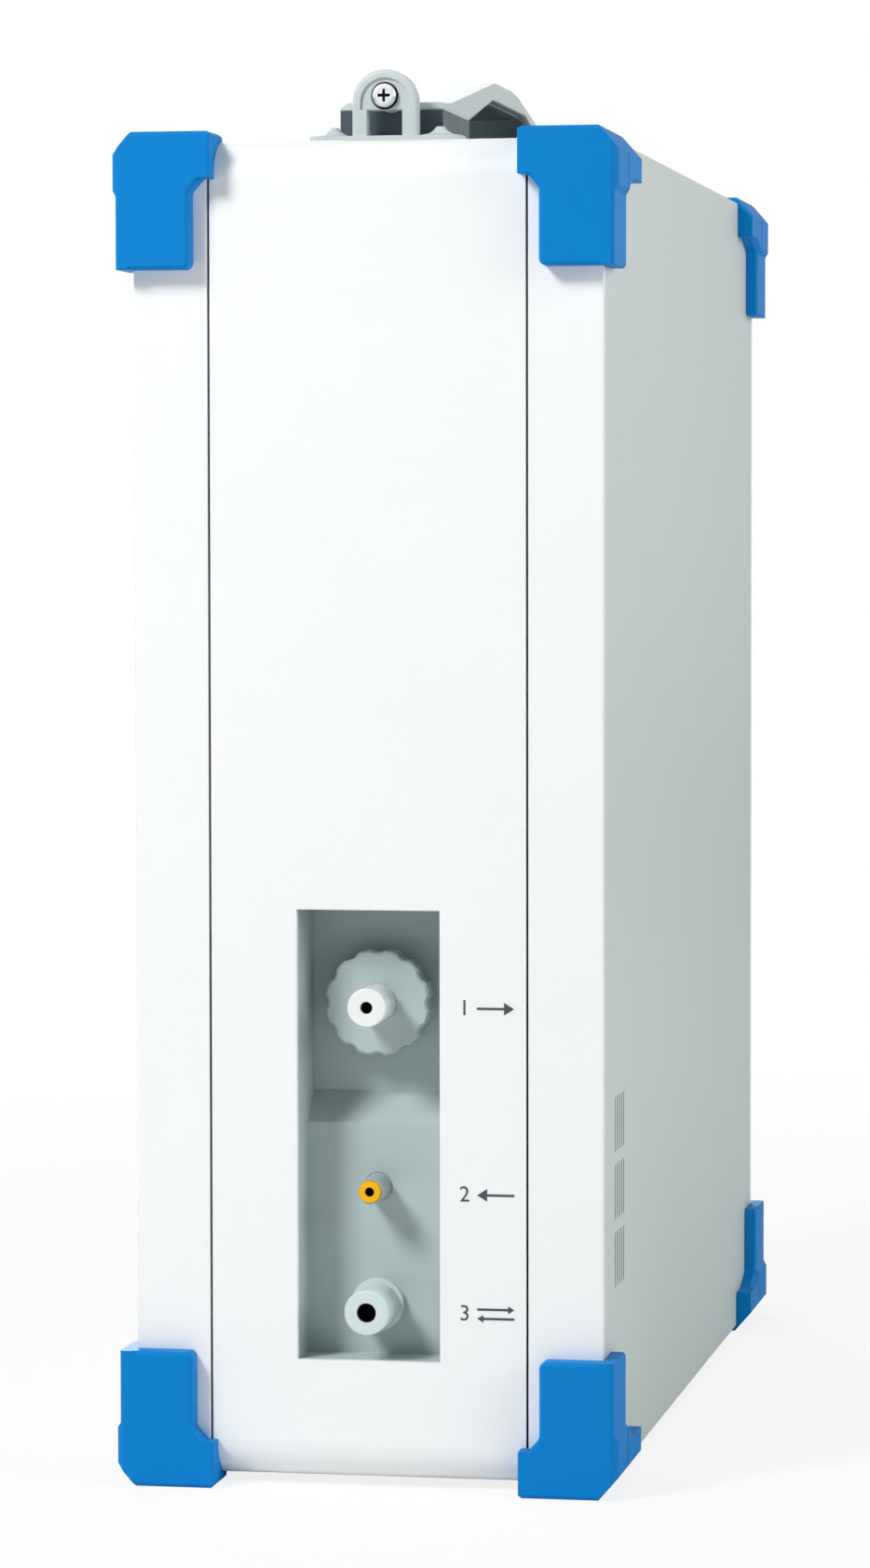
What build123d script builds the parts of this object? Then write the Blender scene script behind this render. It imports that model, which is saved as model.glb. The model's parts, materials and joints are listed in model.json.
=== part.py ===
from build123d import *
import os
from math import asin, cos, degrees, pi, radians, sin

# A portable gas chromatograph in a narrow upright case.
# +X is to the right, -Y is the port end, +Z is up. The origin is on the floor, under the middle.
# Millimetres throughout.

# ---- case ----
case_width = 170.0
case_depth = 440.0
case_height = 481.0
end_radius = 14.0  # rounding of the end frames, over the top and under the bottom
side_sheet = 1.2
lip_length = 4.0  # how far the end frame shows on the sides, ahead of the side panel
cover_sheet = 1.5
panel_screw_radius, panel_screw_head, panel_screw_length = 1.9, 3.6, 8.0
seam = 0.1  # fitting gap between sheets and frames
frame_wall = 3.0
tongue_length = 16.0  # the frame's tongue under the top and bottom sheets

# ---- centre panels ----
panel_width = 114.6
panel_wall = 2.5
panel_gap = 0.8  # the open line each side of a centre panel

# ---- corner guards ----
guard_side = 6.3  # stand-off from the side, at the head
guard_front = 8.0  # stand-off from the end face, at the head
guard_top = 2.7  # stand-off from the top and bottom
guard_step = 1.4  # how much thinner the leg is than the head
guard_arm_x = 35.8
guard_arm_y = 60.0
guard_arm_z = 49.0
guard_band_x = 26.8
guard_band_y = 31.0
guard_band_z = 21.5
guard_slope = 8.5  # length of the diagonal from head to leg
guard_head_corner = 4.0
guard_chamfer_x = 7.0
guard_chamfer_z = 8.0
guard_corner = 2.5
guard_soft, guard_side_soft = 1.1, 2.2  # bevels round the faces
guard_clearance = 0.15
guard_groove, guard_groove_deep = 1.2, 0.7  # the upright line in the side face
guard_groove_at = 26.0
guard_groove_end = 9.0

# ---- port recess ----
recess_width = 52.0
recess_low = 43.8  # above the case's underside
recess_height = 162.2
recess_deep = 30.9
recess_shallow = 18.7
recess_bend_low = 83.7  # above the recess's lower edge
recess_bend_high = 94.3
recess_wall = 2.0
recess_flange = 6.0

# ---- ports ----
port_out_height = 171.3  # above the case's underside
port_in_height = 104.5
port_gas_height = 61.8
out_radius, out_bore, out_proud = 6.95, 2.2, 3.4
in_radius, in_bore, in_set_back = 4.6, 1.7, 3.1
gas_radius, gas_bore, gas_proud = 8.1, 3.5, 4.5
stem_radius = 5.0
stem_length = 14.0
socket_depth = 20.0
capillary_passage = 1.0
bush_radius, bush_length = 11.0, 4.6  # shoulder the knob turns against
knob_radius, knob_thickness = 19.25, 9.0
knob_lobes = 12
knob_flute = 4.2
knob_flute_depth = 1.1
knob_chamfer = 0.8
running = 0.06  # radial running clearance of a shaft in its hole
face_gap = 0.3  # running clearance between faces
ring_radius, ring_length = 3.95, 2.1
ring_stem_radius, ring_stem_length = 2.6, 4.0
ring_proud = 1.2
ring_travel = 1.0
collar_radius, collar_length = 9.6, 2.5
nut_radius, nut_length = 8.5, 4.0

# ---- carrying handle ----
handle_set_back = 34.0  # from the port end face to the front bracket
handle_pitch = 320.0  # over both brackets
bracket_width = 56.0
bracket_length, bracket_toe = 14.0, 1.0  # the toe is the part ahead of the ear
bracket_flange = 3.2
ear_radius = 12.0
ear_height = 27.2
ear_thickness = 6.0
ear_rim = 3.2
ear_pocket = 0.8
eye_width = 13.0
eye_height = 9.3
pivot_height = 17.6
cone_spread = 39.0
cone_radius, cone_waist, cone_tip = 6.8, 3.4, 1.5
cone_height, cone_brim = 3.4, 0.4
grip_width = 38.0
grip_gap = 1.0  # from the bracket's flange to the grip's end
grip_boss = 5.2
block_length = 52.0
block_height = 13.5
block_clear = 0.4  # from the block down to the top cover
crest_height = 33.8
crest_thickness = 8.0
arch_crown, arch_bend = 38.0, 30.0  # half the flat top of the finger opening
sill_run, crest_half, crest_bend = 28.0, 20.0, 40.0  # the grip's top line
shoulder = 2.2
liner_wall, liner_foot = 1.6, 3.0
liner_inset = 2.0
liner_ribs, rib_pitch, rib_width, rib_height = 9, 7.0, 2.0, 0.9
screw_head_radius, screw_head_height = 4.4, 2.4
screw_shank_radius = 2.5
screw_length = 16.0

# ---- vents in the side panels ----
vent_slots = 5
vent_pitch = 5.2
vent_slot_width = 1.6
vent_height = 20.3
vent_groups = 3
vent_group_pitch = 24.6
vent_set_back = 30.0
vent_low = 68.0

# ---- rear panel ----
exhaust_height = 300.0
exhaust_slots = 9
exhaust_pitch = 7.5
exhaust_slot_width = 3.6
inlet_height = 56.0
inlet_width, inlet_tall = 27.0, 20.0
inlet_flange_width, inlet_flange_tall, inlet_flange = 50.0, 26.0, 2.2
inlet_well = 16.0
inlet_rim = 2.2
inlet_body = 24.0
inlet_screw_spread = 40.0
prong_width, prong_thick, prong_spread, prong_drop = 4.0, 2.0, 7.0, 4.0
prong_length, prong_root = 12.0, 3.0
rear_screw_radius, rear_screw_head, rear_screw_length = 1.7, 3.2, 9.0
switch_height = 96.0
switch_width, switch_tall = 19.5, 26.0
switch_bezel, switch_bezel_edge = 2.0, 1.6
switch_body = 20.0
rocker_width, rocker_tall = 15.0, 21.0
rocker_thickness = 6.0  # behind the pin
rocker_proud, rocker_well, rocker_room = 3.2, 12.0, 0.9
rocker_throw = 8.0  # degrees each side of level
rocker_pin, rocker_pin_reach = 1.5, 8.6

# ---- inner chassis ----
plate_x = -20.5  # the right face of the upright chassis plate
plate_sheet = 1.5
plate_end_room = 38.0  # from the case's ends
plate_head_room = 16.0  # under the top cover
foot_width = 18.0

# ---- column oven ----
oven_length, oven_tall = 170.0, 190.0
oven_rear_room = 42.0  # for the exhaust fan
oven_head_room = 43.7  # under the case's top, for the detector
oven_deep = 82.0
oven_wall = 12.0
oven_cover_thickness = 8.0
oven_corner = 6.0
oven_plug, oven_plug_gap = 4.0, 0.5  # the cover's plug in the oven's mouth
coil_radius, tube_radius = 56.0, 2.2
tube_sides = 8  # the column and the heater are drawn with flats
coil_turns, coil_step = 4, 4.0
post_radius = 3.0
post_length = 30.0
column_tail = 12.0
post_count = 3
impeller_radius, impeller_width = 36.0, 14.0
impeller_blades = 6
blade_thickness = 1.2
hub_radius = 8.0
impeller_gap = 2.5
shaft_radius = 2.5
motor_radius, motor_length = 20.0, 38.0
shaft_reach = 22.0
heater_ring, heater_wire, heater_lead, heater_bead = 45.0, 2.5, 2.0, 3.4
heater_stand = 5.0
heater_leg = 18.0  # each leg's distance from the middle

# ---- sampling valve, detector ----
valve_rise = 80.0  # above the oven's underside
valve_gap = 3.0
valve_radius, valve_length = 18.0, 36.0
valve_flange, valve_flange_side = 6.0, 42.0
valve_nipples = 6
nipple_radius, nipple_length, nipple_root = 3.0, 8.0, 2.0
rotor_radius, rotor_disc = 5.0, 12.0
rotor_disc_length, rotor_depth = 8.0, 10.0
rotor_key, rotor_key_width = 5.0, 4.0
valve_post_radius, valve_post_length = 2.5, 18.0
drive_radius, drive_reach = 3.0, 8.0
actuator_side, actuator_length = 42.0, 38.0
bracket_sheet, bracket_foot = 2.0, 24.0
detector_width, detector_length, detector_tall = 46.0, 60.0, 28.0
detector_cap, detector_rim = 4.0, 4.0
detector_tail = 12.0  # behind the column's end

# ---- carrier gas ----
bottle_radius, bottle_length, bottle_shoulder = 30.0, 250.0, 12.0
bottle_x = 28.0
bottle_set_back = 108.0  # from the port end
bottle_neck_radius, bottle_neck = 9.0, 16.0
saddle_length, saddle_height, saddle_half = 16.0, 24.0, 36.0
bottle_rise = 16.0  # the bottle's axis above the saddles' tops
saddle_set_backs = (50.0, 204.0)  # from the bottle's shoulder
strap_wall = 1.5
strap_ear = 8.0
regulator_side, regulator_length = 36.0, 36.0
bonnet_radius, bonnet_height = 13.0, 16.0

# ---- electronics, pump, exhaust fan ----
pump_width, pump_length, pump_tall = 38.0, 50.0, 36.0
pump_set_back, pump_drop = 124.0, 18.0  # from the port end, below the oven
pump_head_radius, pump_head_length = 13.0, 14.0
board_screw_radius = 1.4
board_nut_radius, board_nut = 2.8, 1.6
board_sheet = 1.6
board_end_room, board_motor_room = 22.0, 18.0
board_drop, board_tall = 10.0, 200.0  # the drop is below the oven's underside
board_margin = 8.0
# each part's place as shares of the board's length and height, then its width, height and thickness
board_outlines = (
    (0.23, 0.70, 34, 34, 3), (0.46, 0.76, 16, 26, 2), (0.46, 0.56, 16, 26, 2), (0.21, 0.30, 22, 18, 3),
    (0.79, 0.80, 18, 44, 12), (0.79, 0.52, 18, 30, 12), (0.60, 0.14, 60, 12, 9), (0.11, 0.14, 20, 14, 10),
)
standoff_radius, standoff_length = 3.0, 8.0
supply_deep, supply_length, supply_end_room = 42.0, 170.0, 112.0
supply_low, supply_tall = 18.0, 96.0
supply_slots, supply_slot_pitch, supply_slot_deep = 8, 14.0, 1.5
supply_margin = 20.0
fan_side, fan_depth = 80.0, 25.0
fan_hole_spread = 71.5
fan_boss, fan_boss_length = 6.0, 12.0
fan_duct = 37.5
fan_hub, fan_blades = 17.0, 7
fan_rotor_length = 17.0
fan_hub_plate = 3.5
fan_pin = 2.0
fan_tip_gap, fan_blade_thickness, blade_pitch = 1.0, 1.4, 32.0
line_radius = 1.6
line_bend = 9.0

# ---- places worked out from the sizes ----
half_width = case_width / 2
half_depth = case_depth / 2
front_y, rear_y = -half_depth, half_depth
case_low = guard_top
case_top = case_low + case_height
case_mid = case_low + case_height / 2
frame_half = half_width - side_sheet - seam
inner_half = half_width - side_sheet
panel_half = panel_width / 2
channel_half = panel_half + panel_gap
lip_end = front_y + end_radius
tongue_end = lip_end + tongue_length
web_face = front_y + panel_wall + frame_wall  # inner face of the wall behind the centre panel
base_top = case_low + cover_sheet
plate_half_depth = half_depth - plate_end_room
plate_top = case_top - cover_sheet - plate_head_room
recess_z = case_low + recess_low
deep_floor = front_y + recess_deep
shallow_floor = front_y + recess_shallow
out_z, in_z, gas_z = (case_low + h for h in (port_out_height, port_in_height, port_gas_height))
bush_face = deep_floor - bush_length
knob_rear = bush_face - face_gap
knob_front = knob_rear - knob_thickness
bracket_y = front_y + handle_set_back
handle_mid = bracket_y + handle_pitch / 2
bracket_mid = bracket_y - bracket_toe + bracket_length / 2
grip_front = bracket_mid + bracket_length / 2 + grip_gap
grip_half = handle_mid - grip_front
oven_rear = rear_y - oven_rear_room
oven_front = oven_rear - oven_length
oven_mid_y = (oven_front + oven_rear) / 2
oven_low = case_top - oven_head_room - oven_tall
oven_mid_z = oven_low + oven_tall / 2
oven_face = plate_x + oven_deep
oven_floor = plate_x + oven_wall
plate_back = plate_x - plate_sheet
bottle_front = front_y + bottle_set_back
bottle_z = base_top + saddle_height + bottle_rise
coil_half = (coil_turns - 1) / 2 * coil_step
coil_width = 2 * (coil_half + tube_radius)
coil_x = oven_floor + post_length + coil_width / 2
coil_top = oven_mid_z + coil_radius
heater_radius = (heater_ring**2 - heater_leg**2) ** 0.5
valve_x = coil_x - coil_half
valve_rear = oven_front - valve_post_length
valve_front = valve_rear - valve_length
valve_mid_y = (valve_front + valve_rear) / 2 - valve_gap
valve_z = oven_low + valve_rise
rotor_front = valve_front - face_gap - rotor_disc_length
drive_face = rotor_front - face_gap
pump_rear = front_y + pump_set_back
pump_low = oven_low - pump_drop
pump_z = pump_low + pump_tall / 2
board_front = -plate_half_depth + board_end_room
board_rear = oven_mid_y - motor_radius - board_motor_room
board_low = oven_low - board_drop
board_high = board_low + board_tall
board_back = plate_back - standoff_length
board_face = board_back - board_sheet
supply_front = -plate_half_depth + supply_end_room
inlet_z, switch_z, exhaust_z = (case_low + h for h in (inlet_height, switch_height, exhaust_height))
fan_outer = rear_y - panel_wall - frame_wall
fan_inner = fan_outer - fan_depth
pump_axis_x = plate_x + pump_width / 2


# ---- helpers ----
def block(xs, ys, zs):
    """A box from its two limits along each axis."""
    size = [b - a for a, b in (xs, ys, zs)]
    middle = [(a + b) / 2 for a, b in (xs, ys, zs)]
    return Pos(*middle) * Box(*size)


def rod_x(radius, x0, x1, y, z):
    return Pos((x0 + x1) / 2, y, z) * Rot(0, 90, 0) * Cylinder(radius, abs(x1 - x0))


def rod_y(radius, y0, y1, x, z):
    return Pos(x, (y0 + y1) / 2, z) * Rot(90, 0, 0) * Cylinder(radius, abs(y1 - y0))


def rod_z(radius, z0, z1, x, y):
    return Pos(x, y, (z0 + z1) / 2) * Cylinder(radius, abs(z1 - z0))


def hex_y(radius, y0, y1, x, z):
    """A hexagonal prism along Y, radius to its corners."""
    return Pos(x, y0, z) * extrude(Plane.XZ * RegularPolygon(radius, 6), amount=-(y1 - y0))


def across(outline, half):
    """A side outline, drawn as (y, z), extruded half to each side."""
    return Pos(-half, 0, 0) * extrude(Plane.YZ * outline, amount=2 * half)


def turned(shape):
    """The same piece at the rear end of the case."""
    return mirror(shape, about=Plane.XZ)


def save(name, *solids):
    parts = [s for shape in solids for s in shape.solids()]
    export_step(parts[0] if len(parts) == 1 else Compound(children=parts), f"parts/{name}.step")


# ---- case shell ----
def case_prism(inset, half):
    """The case's rounded side outline, pulled in by inset, as a prism across the width."""
    outline = RectangleRounded(case_depth - 2 * inset, case_height - 2 * inset, end_radius - inset)
    return Pos(0, 0, case_mid) * across(outline, half)


def end_region(rear_limit):
    """Everything from ahead of the port end back to rear_limit."""
    margin = 10.0
    return block(
        (-case_width, case_width), (front_y - margin, rear_limit), (case_low - margin, case_top + margin)
    )


def end_frame():
    lip = case_prism(0, frame_half) & end_region(lip_end)
    lip += case_prism(0, half_width) & end_region(front_y + lip_length)
    tongue = case_prism(cover_sheet + seam, frame_half) & end_region(tongue_end)
    hollow = case_prism(panel_wall + frame_wall, frame_half - frame_wall)
    channel = case_prism(0, channel_half) - case_prism(panel_wall, channel_half)
    return lip + tongue - hollow - (channel & end_region(lip_end)) - frame_screw_holes()


def centre_panel():
    skin = case_prism(0, panel_half) - case_prism(panel_wall, panel_half)
    return skin & end_region(lip_end)


def recess_window(margin, y0, y1):
    return block(
        (-recess_width / 2 - margin, recess_width / 2 + margin),
        (y0, y1),
        (recess_z - margin, recess_z + recess_height + margin),
    )


def front_frame():
    return end_frame() - recess_window(recess_wall + seam, front_y, web_face)


def front_panel():
    return centre_panel() - recess_window(0, front_y - 1, web_face)


def rear_openings(margin, fan_opening):
    """The cut-outs for the inlet, the switch and the fan, at the rear end."""
    depth = (fan_outer, rear_y + 1)
    cuts = [
        block(
            (-inlet_width / 2 - margin, inlet_width / 2 + margin),
            depth,
            (inlet_z - inlet_tall / 2 - margin, inlet_z + inlet_tall / 2 + margin),
        ),
        block(
            (-switch_width / 2 - margin, switch_width / 2 + margin),
            depth,
            (switch_z - switch_tall / 2 - margin, switch_z + switch_tall / 2 + margin),
        ),
    ]
    return cuts + fan_opening + rear_screw_holes()


def rear_frame():
    duct = rod_y(fan_duct, fan_outer, rear_y, 0, exhaust_z)
    return turned(end_frame()) - rear_openings(seam, [duct])


def rear_panel():
    slots = []
    for i in range(exhaust_slots):
        rise = (i - (exhaust_slots - 1) / 2) * exhaust_pitch
        half = (max(fan_duct**2 - rise**2, 0.0)) ** 0.5 - exhaust_slot_width
        outline = SlotOverall(2 * half, exhaust_slot_width)
        slot = extrude(Plane.XZ * outline, amount=2 * panel_wall)
        slots.append(Pos(0, rear_y + panel_wall / 2, exhaust_z + rise) * slot)
    return turned(centre_panel()) - rear_openings(seam, slots)


def side_panel():
    """The right side sheet, with its groups of upright vent slots near the port end."""
    ends = front_y + lip_length + seam
    middle = block((inner_half, half_width), (ends, -ends), (case_low, case_top))
    slots = []
    for group in range(vent_groups):
        for i in range(vent_slots):
            outline = SlotOverall(vent_height, vent_slot_width)
            slot = across(Rot(0, 0, 90) * outline, 2 * side_sheet)
            y = front_y + vent_set_back + i * vent_pitch
            z = case_low + vent_low + vent_height / 2 + group * vent_group_pitch
            slots.append(Pos(half_width, y, z) * slot)
    seat = panel_screw_head + seam
    seats = [rod_x(seat, inner_half, half_width, *place) for place in panel_screw_places()]
    return (case_prism(0, half_width) & middle) - slots - seats


def cover(low, high):
    """The flat sheet between the end frames, over the top or under the bottom."""
    return block((-frame_half, frame_half), (lip_end + seam, -lip_end - seam), (low, high))


def panel_screw_places():
    """The side panel's corners, under the guards."""
    reach_y = -(lip_end + tongue_end) / 2
    reach_z = case_height / 2 - end_radius
    return [(y * reach_y, case_mid + z * reach_z) for y in (-1, 1) for z in (-1, 1)]


def panel_screws():
    """Flat-headed screws that hold the right side panel to the end frames."""
    screws = []
    for place in panel_screw_places():
        head = rod_x(panel_screw_head, inner_half, half_width, *place)
        shank = rod_x(panel_screw_radius, half_width - panel_screw_length, half_width, *place)
        screws.append(head + shank)
    return screws


def frame_screw_holes():
    """Screw holes in the end frames' side walls."""
    radius = panel_screw_radius + running
    return [rod_x(radius, side * (frame_half - frame_wall - 1), side * frame_half, *place)
            for side in (-1, 1) for place in panel_screw_places()]


# ---- corner guards ----
def guard():
    """The guard of the right, front, top corner. u, v and w run outwards from the case's faces."""
    u_out, v_out, w_out = guard_side, guard_front, guard_top
    u_leg = u_out - guard_step
    u_head, v_head = u_out - guard_arm_x, v_out - guard_arm_y
    u_band, v_band = u_leg - guard_band_x, v_out - guard_band_y
    w_band, w_leg = w_out - guard_band_z, w_out - guard_arm_z
    margin = 5.0

    def plate(points):
        """A plate's outline, its inner head corner rounded more than the others."""
        outline = make_face(Polyline(*points, close=True))
        head = outline.vertices().sort_by_distance((*points[0], 0))[0]
        outline = fillet([v for v in outline.vertices() if v != head], guard_corner)
        return fillet(outline.vertices().sort_by_distance((*points[0], 0))[0], guard_head_corner)

    def wide_above_narrow(reach, band, outer):
        turn = w_band + guard_slope
        return plate([
            (reach, w_out), (outer, w_out), (outer, w_leg), (band, w_leg), (band, w_band), (reach, turn),
        ])

    def soft(prism, axis, amount):
        """The prism with the edges of its outer face bevelled."""
        return chamfer(prism.faces().sort_by(axis)[-1].edges(), amount)

    # three plates, the front one and the top one carried back to fill the case's rounded corner
    front = extrude(Plane.XZ * wide_above_narrow(u_head, u_band, u_out + margin), amount=v_out + end_radius)
    side = extrude(Plane.YZ * wide_above_narrow(-v_head, -v_band, -v_out - margin), amount=u_out)
    top = extrude(
        plate([
            (u_head, -v_out - margin), (u_out + margin, -v_out - margin), (u_out + margin, -v_head),
            (u_band, -v_head), (u_band, -v_band), (u_head, -v_band - guard_slope),
        ]),
        amount=w_out + end_radius,
    )
    shape = Pos(0, end_radius, 0) * soft(front, -Axis.Y, guard_soft)
    shape += soft(side, Axis.X, guard_side_soft)
    shape += Pos(0, 0, -end_radius) * soft(top, Axis.Z, guard_soft)

    # seen from the port end: the chamfered corner, and the leg thinner than the head
    seen = make_face(
        Polyline(
            (u_head, w_out), (u_out - guard_chamfer_x, w_out), (u_out, w_out - guard_chamfer_z),
            (u_out, w_band + guard_step / 2), (u_leg, w_band - guard_step), (u_leg, w_leg), (u_head, w_leg),
            close=True,
        )
    )
    shape &= Pos(0, -v_head, 0) * extrude(Plane.XZ * seen, amount=v_out - v_head)
    # the two long corners where the plates meet, seen from above and from the side
    corner_cut = guard_soft + guard_step
    above = make_face(
        Polyline(
            (u_head, -v_out), (u_out - corner_cut, -v_out), (u_out, corner_cut - v_out),
            (u_out, -v_head), (u_head, -v_head), close=True,
        )
    )
    shape &= Pos(0, 0, w_leg) * extrude(above, amount=w_out - w_leg)
    beside = make_face(
        Polyline(
            (-v_head, w_out), (guard_soft - v_out, w_out), (-v_out, w_out - guard_soft),
            (-v_out, w_leg), (-v_head, w_leg), close=True,
        )
    )
    shape &= Pos(u_head, 0, 0) * extrude(Plane.YZ * beside, amount=u_out - u_head)

    groove = block(
        (u_out - guard_groove_deep, u_out + margin),
        (guard_groove_at - v_out, guard_groove_at - v_out + guard_groove),
        (w_leg + guard_groove_end, w_out - guard_chamfer_z),
    )
    placed = Pos(half_width, front_y, case_top) * (shape - groove)
    return placed - case_prism(-guard_clearance, half_width + guard_clearance)


# ---- port recess and ports ----
def recess_section(margin, mouth):
    """Side outline of the recess, grown by margin, from its mouth to its stepped floor."""
    low, high = recess_z - margin, recess_z + recess_height + margin
    return make_face(
        Polyline(
            (mouth, low), (shallow_floor + margin, low),
            (shallow_floor + margin, recess_z + recess_bend_low),
            (deep_floor + margin, recess_z + recess_bend_high),
            (deep_floor + margin, high), (mouth, high), close=True,
        )
    )


def port_recess():
    mouth = front_y + panel_wall
    half = recess_width / 2
    outer = across(recess_section(recess_wall, mouth), half + recess_wall)
    inner = across(recess_section(0, mouth - 1), half)
    flange = recess_window(recess_wall + recess_flange, web_face, web_face + recess_wall)
    tray = outer + flange - inner
    for z in (out_z, in_z, gas_z):
        tray -= rod_y(stem_radius + seam, shallow_floor - 1, deep_floor + recess_wall + 1, 0, z)
    return tray


def fitting(radius, bore, mouth, floor, z):
    """A bulkhead fitting: spigot, stem through the floor, blind hose bore and a fine passage behind."""
    spigot = rod_y(radius, mouth, floor, 0, z)
    stem = rod_y(stem_radius, floor, floor + stem_length, 0, z)
    body = spigot + stem - rod_y(bore, mouth, mouth + socket_depth, 0, z)
    return body - rod_y(capillary_passage, mouth, floor + stem_length, 0, z)


def soft_mouth(shape, radius, soft):
    """Rounds the rim at the open end of a fitting."""
    rim = shape.edges().filter_by(GeomType.CIRCLE).filter_by(lambda e: abs(e.radius - radius) < 1e-3)
    return fillet(rim.sort_by(Axis.Y)[0], soft)


def sample_out_tube():
    """Outlet fitting: the knob turns on its tube, against its shoulder."""
    tube = fitting(out_radius, out_bore, front_y - out_proud, bush_face, out_z)
    tube += rod_y(bush_radius, bush_face, deep_floor, 0, out_z)
    tube += rod_y(stem_radius, deep_floor, deep_floor + stem_length, 0, out_z)
    tube -= rod_y(capillary_passage, front_y, deep_floor + stem_length, 0, out_z)
    tube -= rod_y(out_bore, front_y - out_proud, front_y - out_proud + socket_depth, 0, out_z)
    return soft_mouth(tube, out_radius, 0.6)


def sample_out_knob():
    """Fluted finger knob that turns round the sample-out tube."""
    disc = Circle(knob_radius)
    for i in range(knob_lobes):
        angle = 2 * pi * i / knob_lobes
        reach = knob_radius + knob_flute - knob_flute_depth
        disc -= Pos(reach * cos(angle), reach * sin(angle)) * Circle(knob_flute)
    disc -= Circle(out_radius + running)
    knob = Pos(0, knob_rear, out_z) * extrude(Plane.XZ * disc, amount=knob_thickness)
    rim = knob.faces().sort_by(Axis.Y)[0].outer_wire().edges()
    return chamfer(rim, knob_chamfer)


def sample_in_body():
    mouth = front_y + in_set_back
    body = fitting(in_radius, in_bore, mouth, shallow_floor, in_z)
    ring_well = mouth + ring_length - ring_proud + ring_travel + seam
    body -= rod_y(ring_radius + running, mouth, ring_well, 0, in_z)
    return body - rod_y(ring_stem_radius + running, mouth, ring_well + ring_stem_length, 0, in_z)


def sample_in_ring():
    """Release ring of the push-in fitting."""
    y0 = front_y + in_set_back - ring_proud
    ring = rod_y(ring_radius, y0, y0 + ring_length, 0, in_z)
    ring += rod_y(ring_stem_radius, y0, y0 + ring_length + ring_stem_length, 0, in_z)
    ring -= rod_y(in_bore, y0, y0 + ring_length + ring_stem_length, 0, in_z)
    return soft_mouth(ring, ring_radius, 0.4)


def gas_cycle_tube():
    tube = fitting(gas_radius, gas_bore, front_y - gas_proud, shallow_floor, gas_z)
    collar = rod_y(collar_radius, shallow_floor - collar_length, shallow_floor, 0, gas_z)
    collar -= rod_y(gas_radius / 2, shallow_floor - collar_length, shallow_floor, 0, gas_z)
    return soft_mouth(tube + collar, gas_radius, 0.6)


def port_nuts():
    nuts = []
    for floor, z in ((deep_floor, out_z), (shallow_floor, in_z), (shallow_floor, gas_z)):
        seat = floor + recess_wall
        nut = hex_y(nut_radius, seat, seat + nut_length, 0, z)
        nuts.append(nut - rod_y(stem_radius + running, seat, seat + nut_length, 0, z))
    return nuts


# ---- carrying handle ----
def handle_bracket():
    """Front bracket: a screwed flange with an ear that holds the grip, and a strap eye in the ear."""
    floor = case_top
    flange = extrude(RectangleRounded(bracket_width, bracket_length, 3.0), amount=bracket_flange)
    flange = Pos(0, bracket_mid, floor) * flange
    arch_z = ear_height - ear_radius
    plate = Pos(0, arch_z / 2) * Rectangle(2 * ear_radius, arch_z) + Pos(0, arch_z) * Circle(ear_radius)
    ear = Pos(0, bracket_y + ear_thickness, floor) * extrude(Plane.XZ * plate, amount=ear_thickness)
    rim = ear.faces().sort_by(Axis.Y)[0].outer_wire().edges().filter_by(lambda e: e.center().Z > floor + 1)
    ear = fillet(rim, 1.4)
    eye = block(
        (-eye_width / 2, eye_width / 2), (bracket_y, bracket_y + ear_thickness),
        (floor + bracket_flange, floor + bracket_flange + eye_height),
    )
    web_low = bracket_flange + eye_height
    web = Pos(0, (web_low + arch_z) / 2) * Rectangle(2 * (ear_radius - ear_rim), arch_z - web_low)
    web += Pos(0, arch_z) * Circle(ear_radius - ear_rim)
    web &= Pos(0, web_low + ear_radius) * Rectangle(2 * ear_radius, 2 * ear_radius)
    pocket = Pos(0, bracket_y + ear_pocket, floor) * extrude(Plane.XZ * web, amount=ear_pocket)
    radius = screw_shank_radius + running
    hole = rod_y(radius, bracket_y, bracket_y + ear_thickness, 0, floor + pivot_height)
    bracket = flange + ear - eye - pocket - hole
    return bracket


def bracket_caps():
    """Cone-shaped caps over the flange screws."""
    z0 = case_top + bracket_flange
    caps = []
    for side in (-1, 1):
        brim, tip = (cone_radius, cone_brim), (cone_tip, cone_height)
        flank = ThreePointArc(brim, (cone_waist, cone_height * 0.42), tip)
        under = Polyline(tip, (0, cone_height), (0, 0), (cone_radius, 0), brim)
        cap = revolve(Plane.XZ * make_face([flank, *under.edges()]), axis=Axis.Z)
        caps.append(Pos(side * cone_spread / 2, bracket_mid, z0) * cap)
    return caps


def grip_screw():
    """Cross-recess pan head screw that holds the grip to the ear."""
    y0 = bracket_y + ear_pocket
    z = case_top + pivot_height
    head = rod_y(screw_head_radius, y0 - screw_head_height, y0, 0, z)
    head = fillet(head.faces().sort_by(Axis.Y)[0].edges(), 1.2)
    slot_long, slot_wide, slot_deep = 4.6, 1.1, 1.2
    for size in ((slot_long, slot_wide), (slot_wide, slot_long)):
        head -= Pos(0, y0 - screw_head_height + slot_deep / 2, z) * Box(size[0], slot_deep, size[1])
    return head + rod_y(screw_shank_radius, y0, y0 + screw_length, 0, z)


def top_line():
    """The grip's top line, from one end over the crest to the other."""
    foot, sill = case_top + block_height + shoulder + 0.6, case_top + block_height + 2 * shoulder
    crest = case_top + crest_height
    y0, y1 = grip_front, 2 * handle_mid - grip_front
    return FilletPolyline(
        (y0, foot), (y0 + sill_run, sill), (handle_mid - crest_half, crest),
        (handle_mid + crest_half, crest), (y1 - sill_run, sill), (y1, foot), radius=crest_bend,
    )


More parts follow.
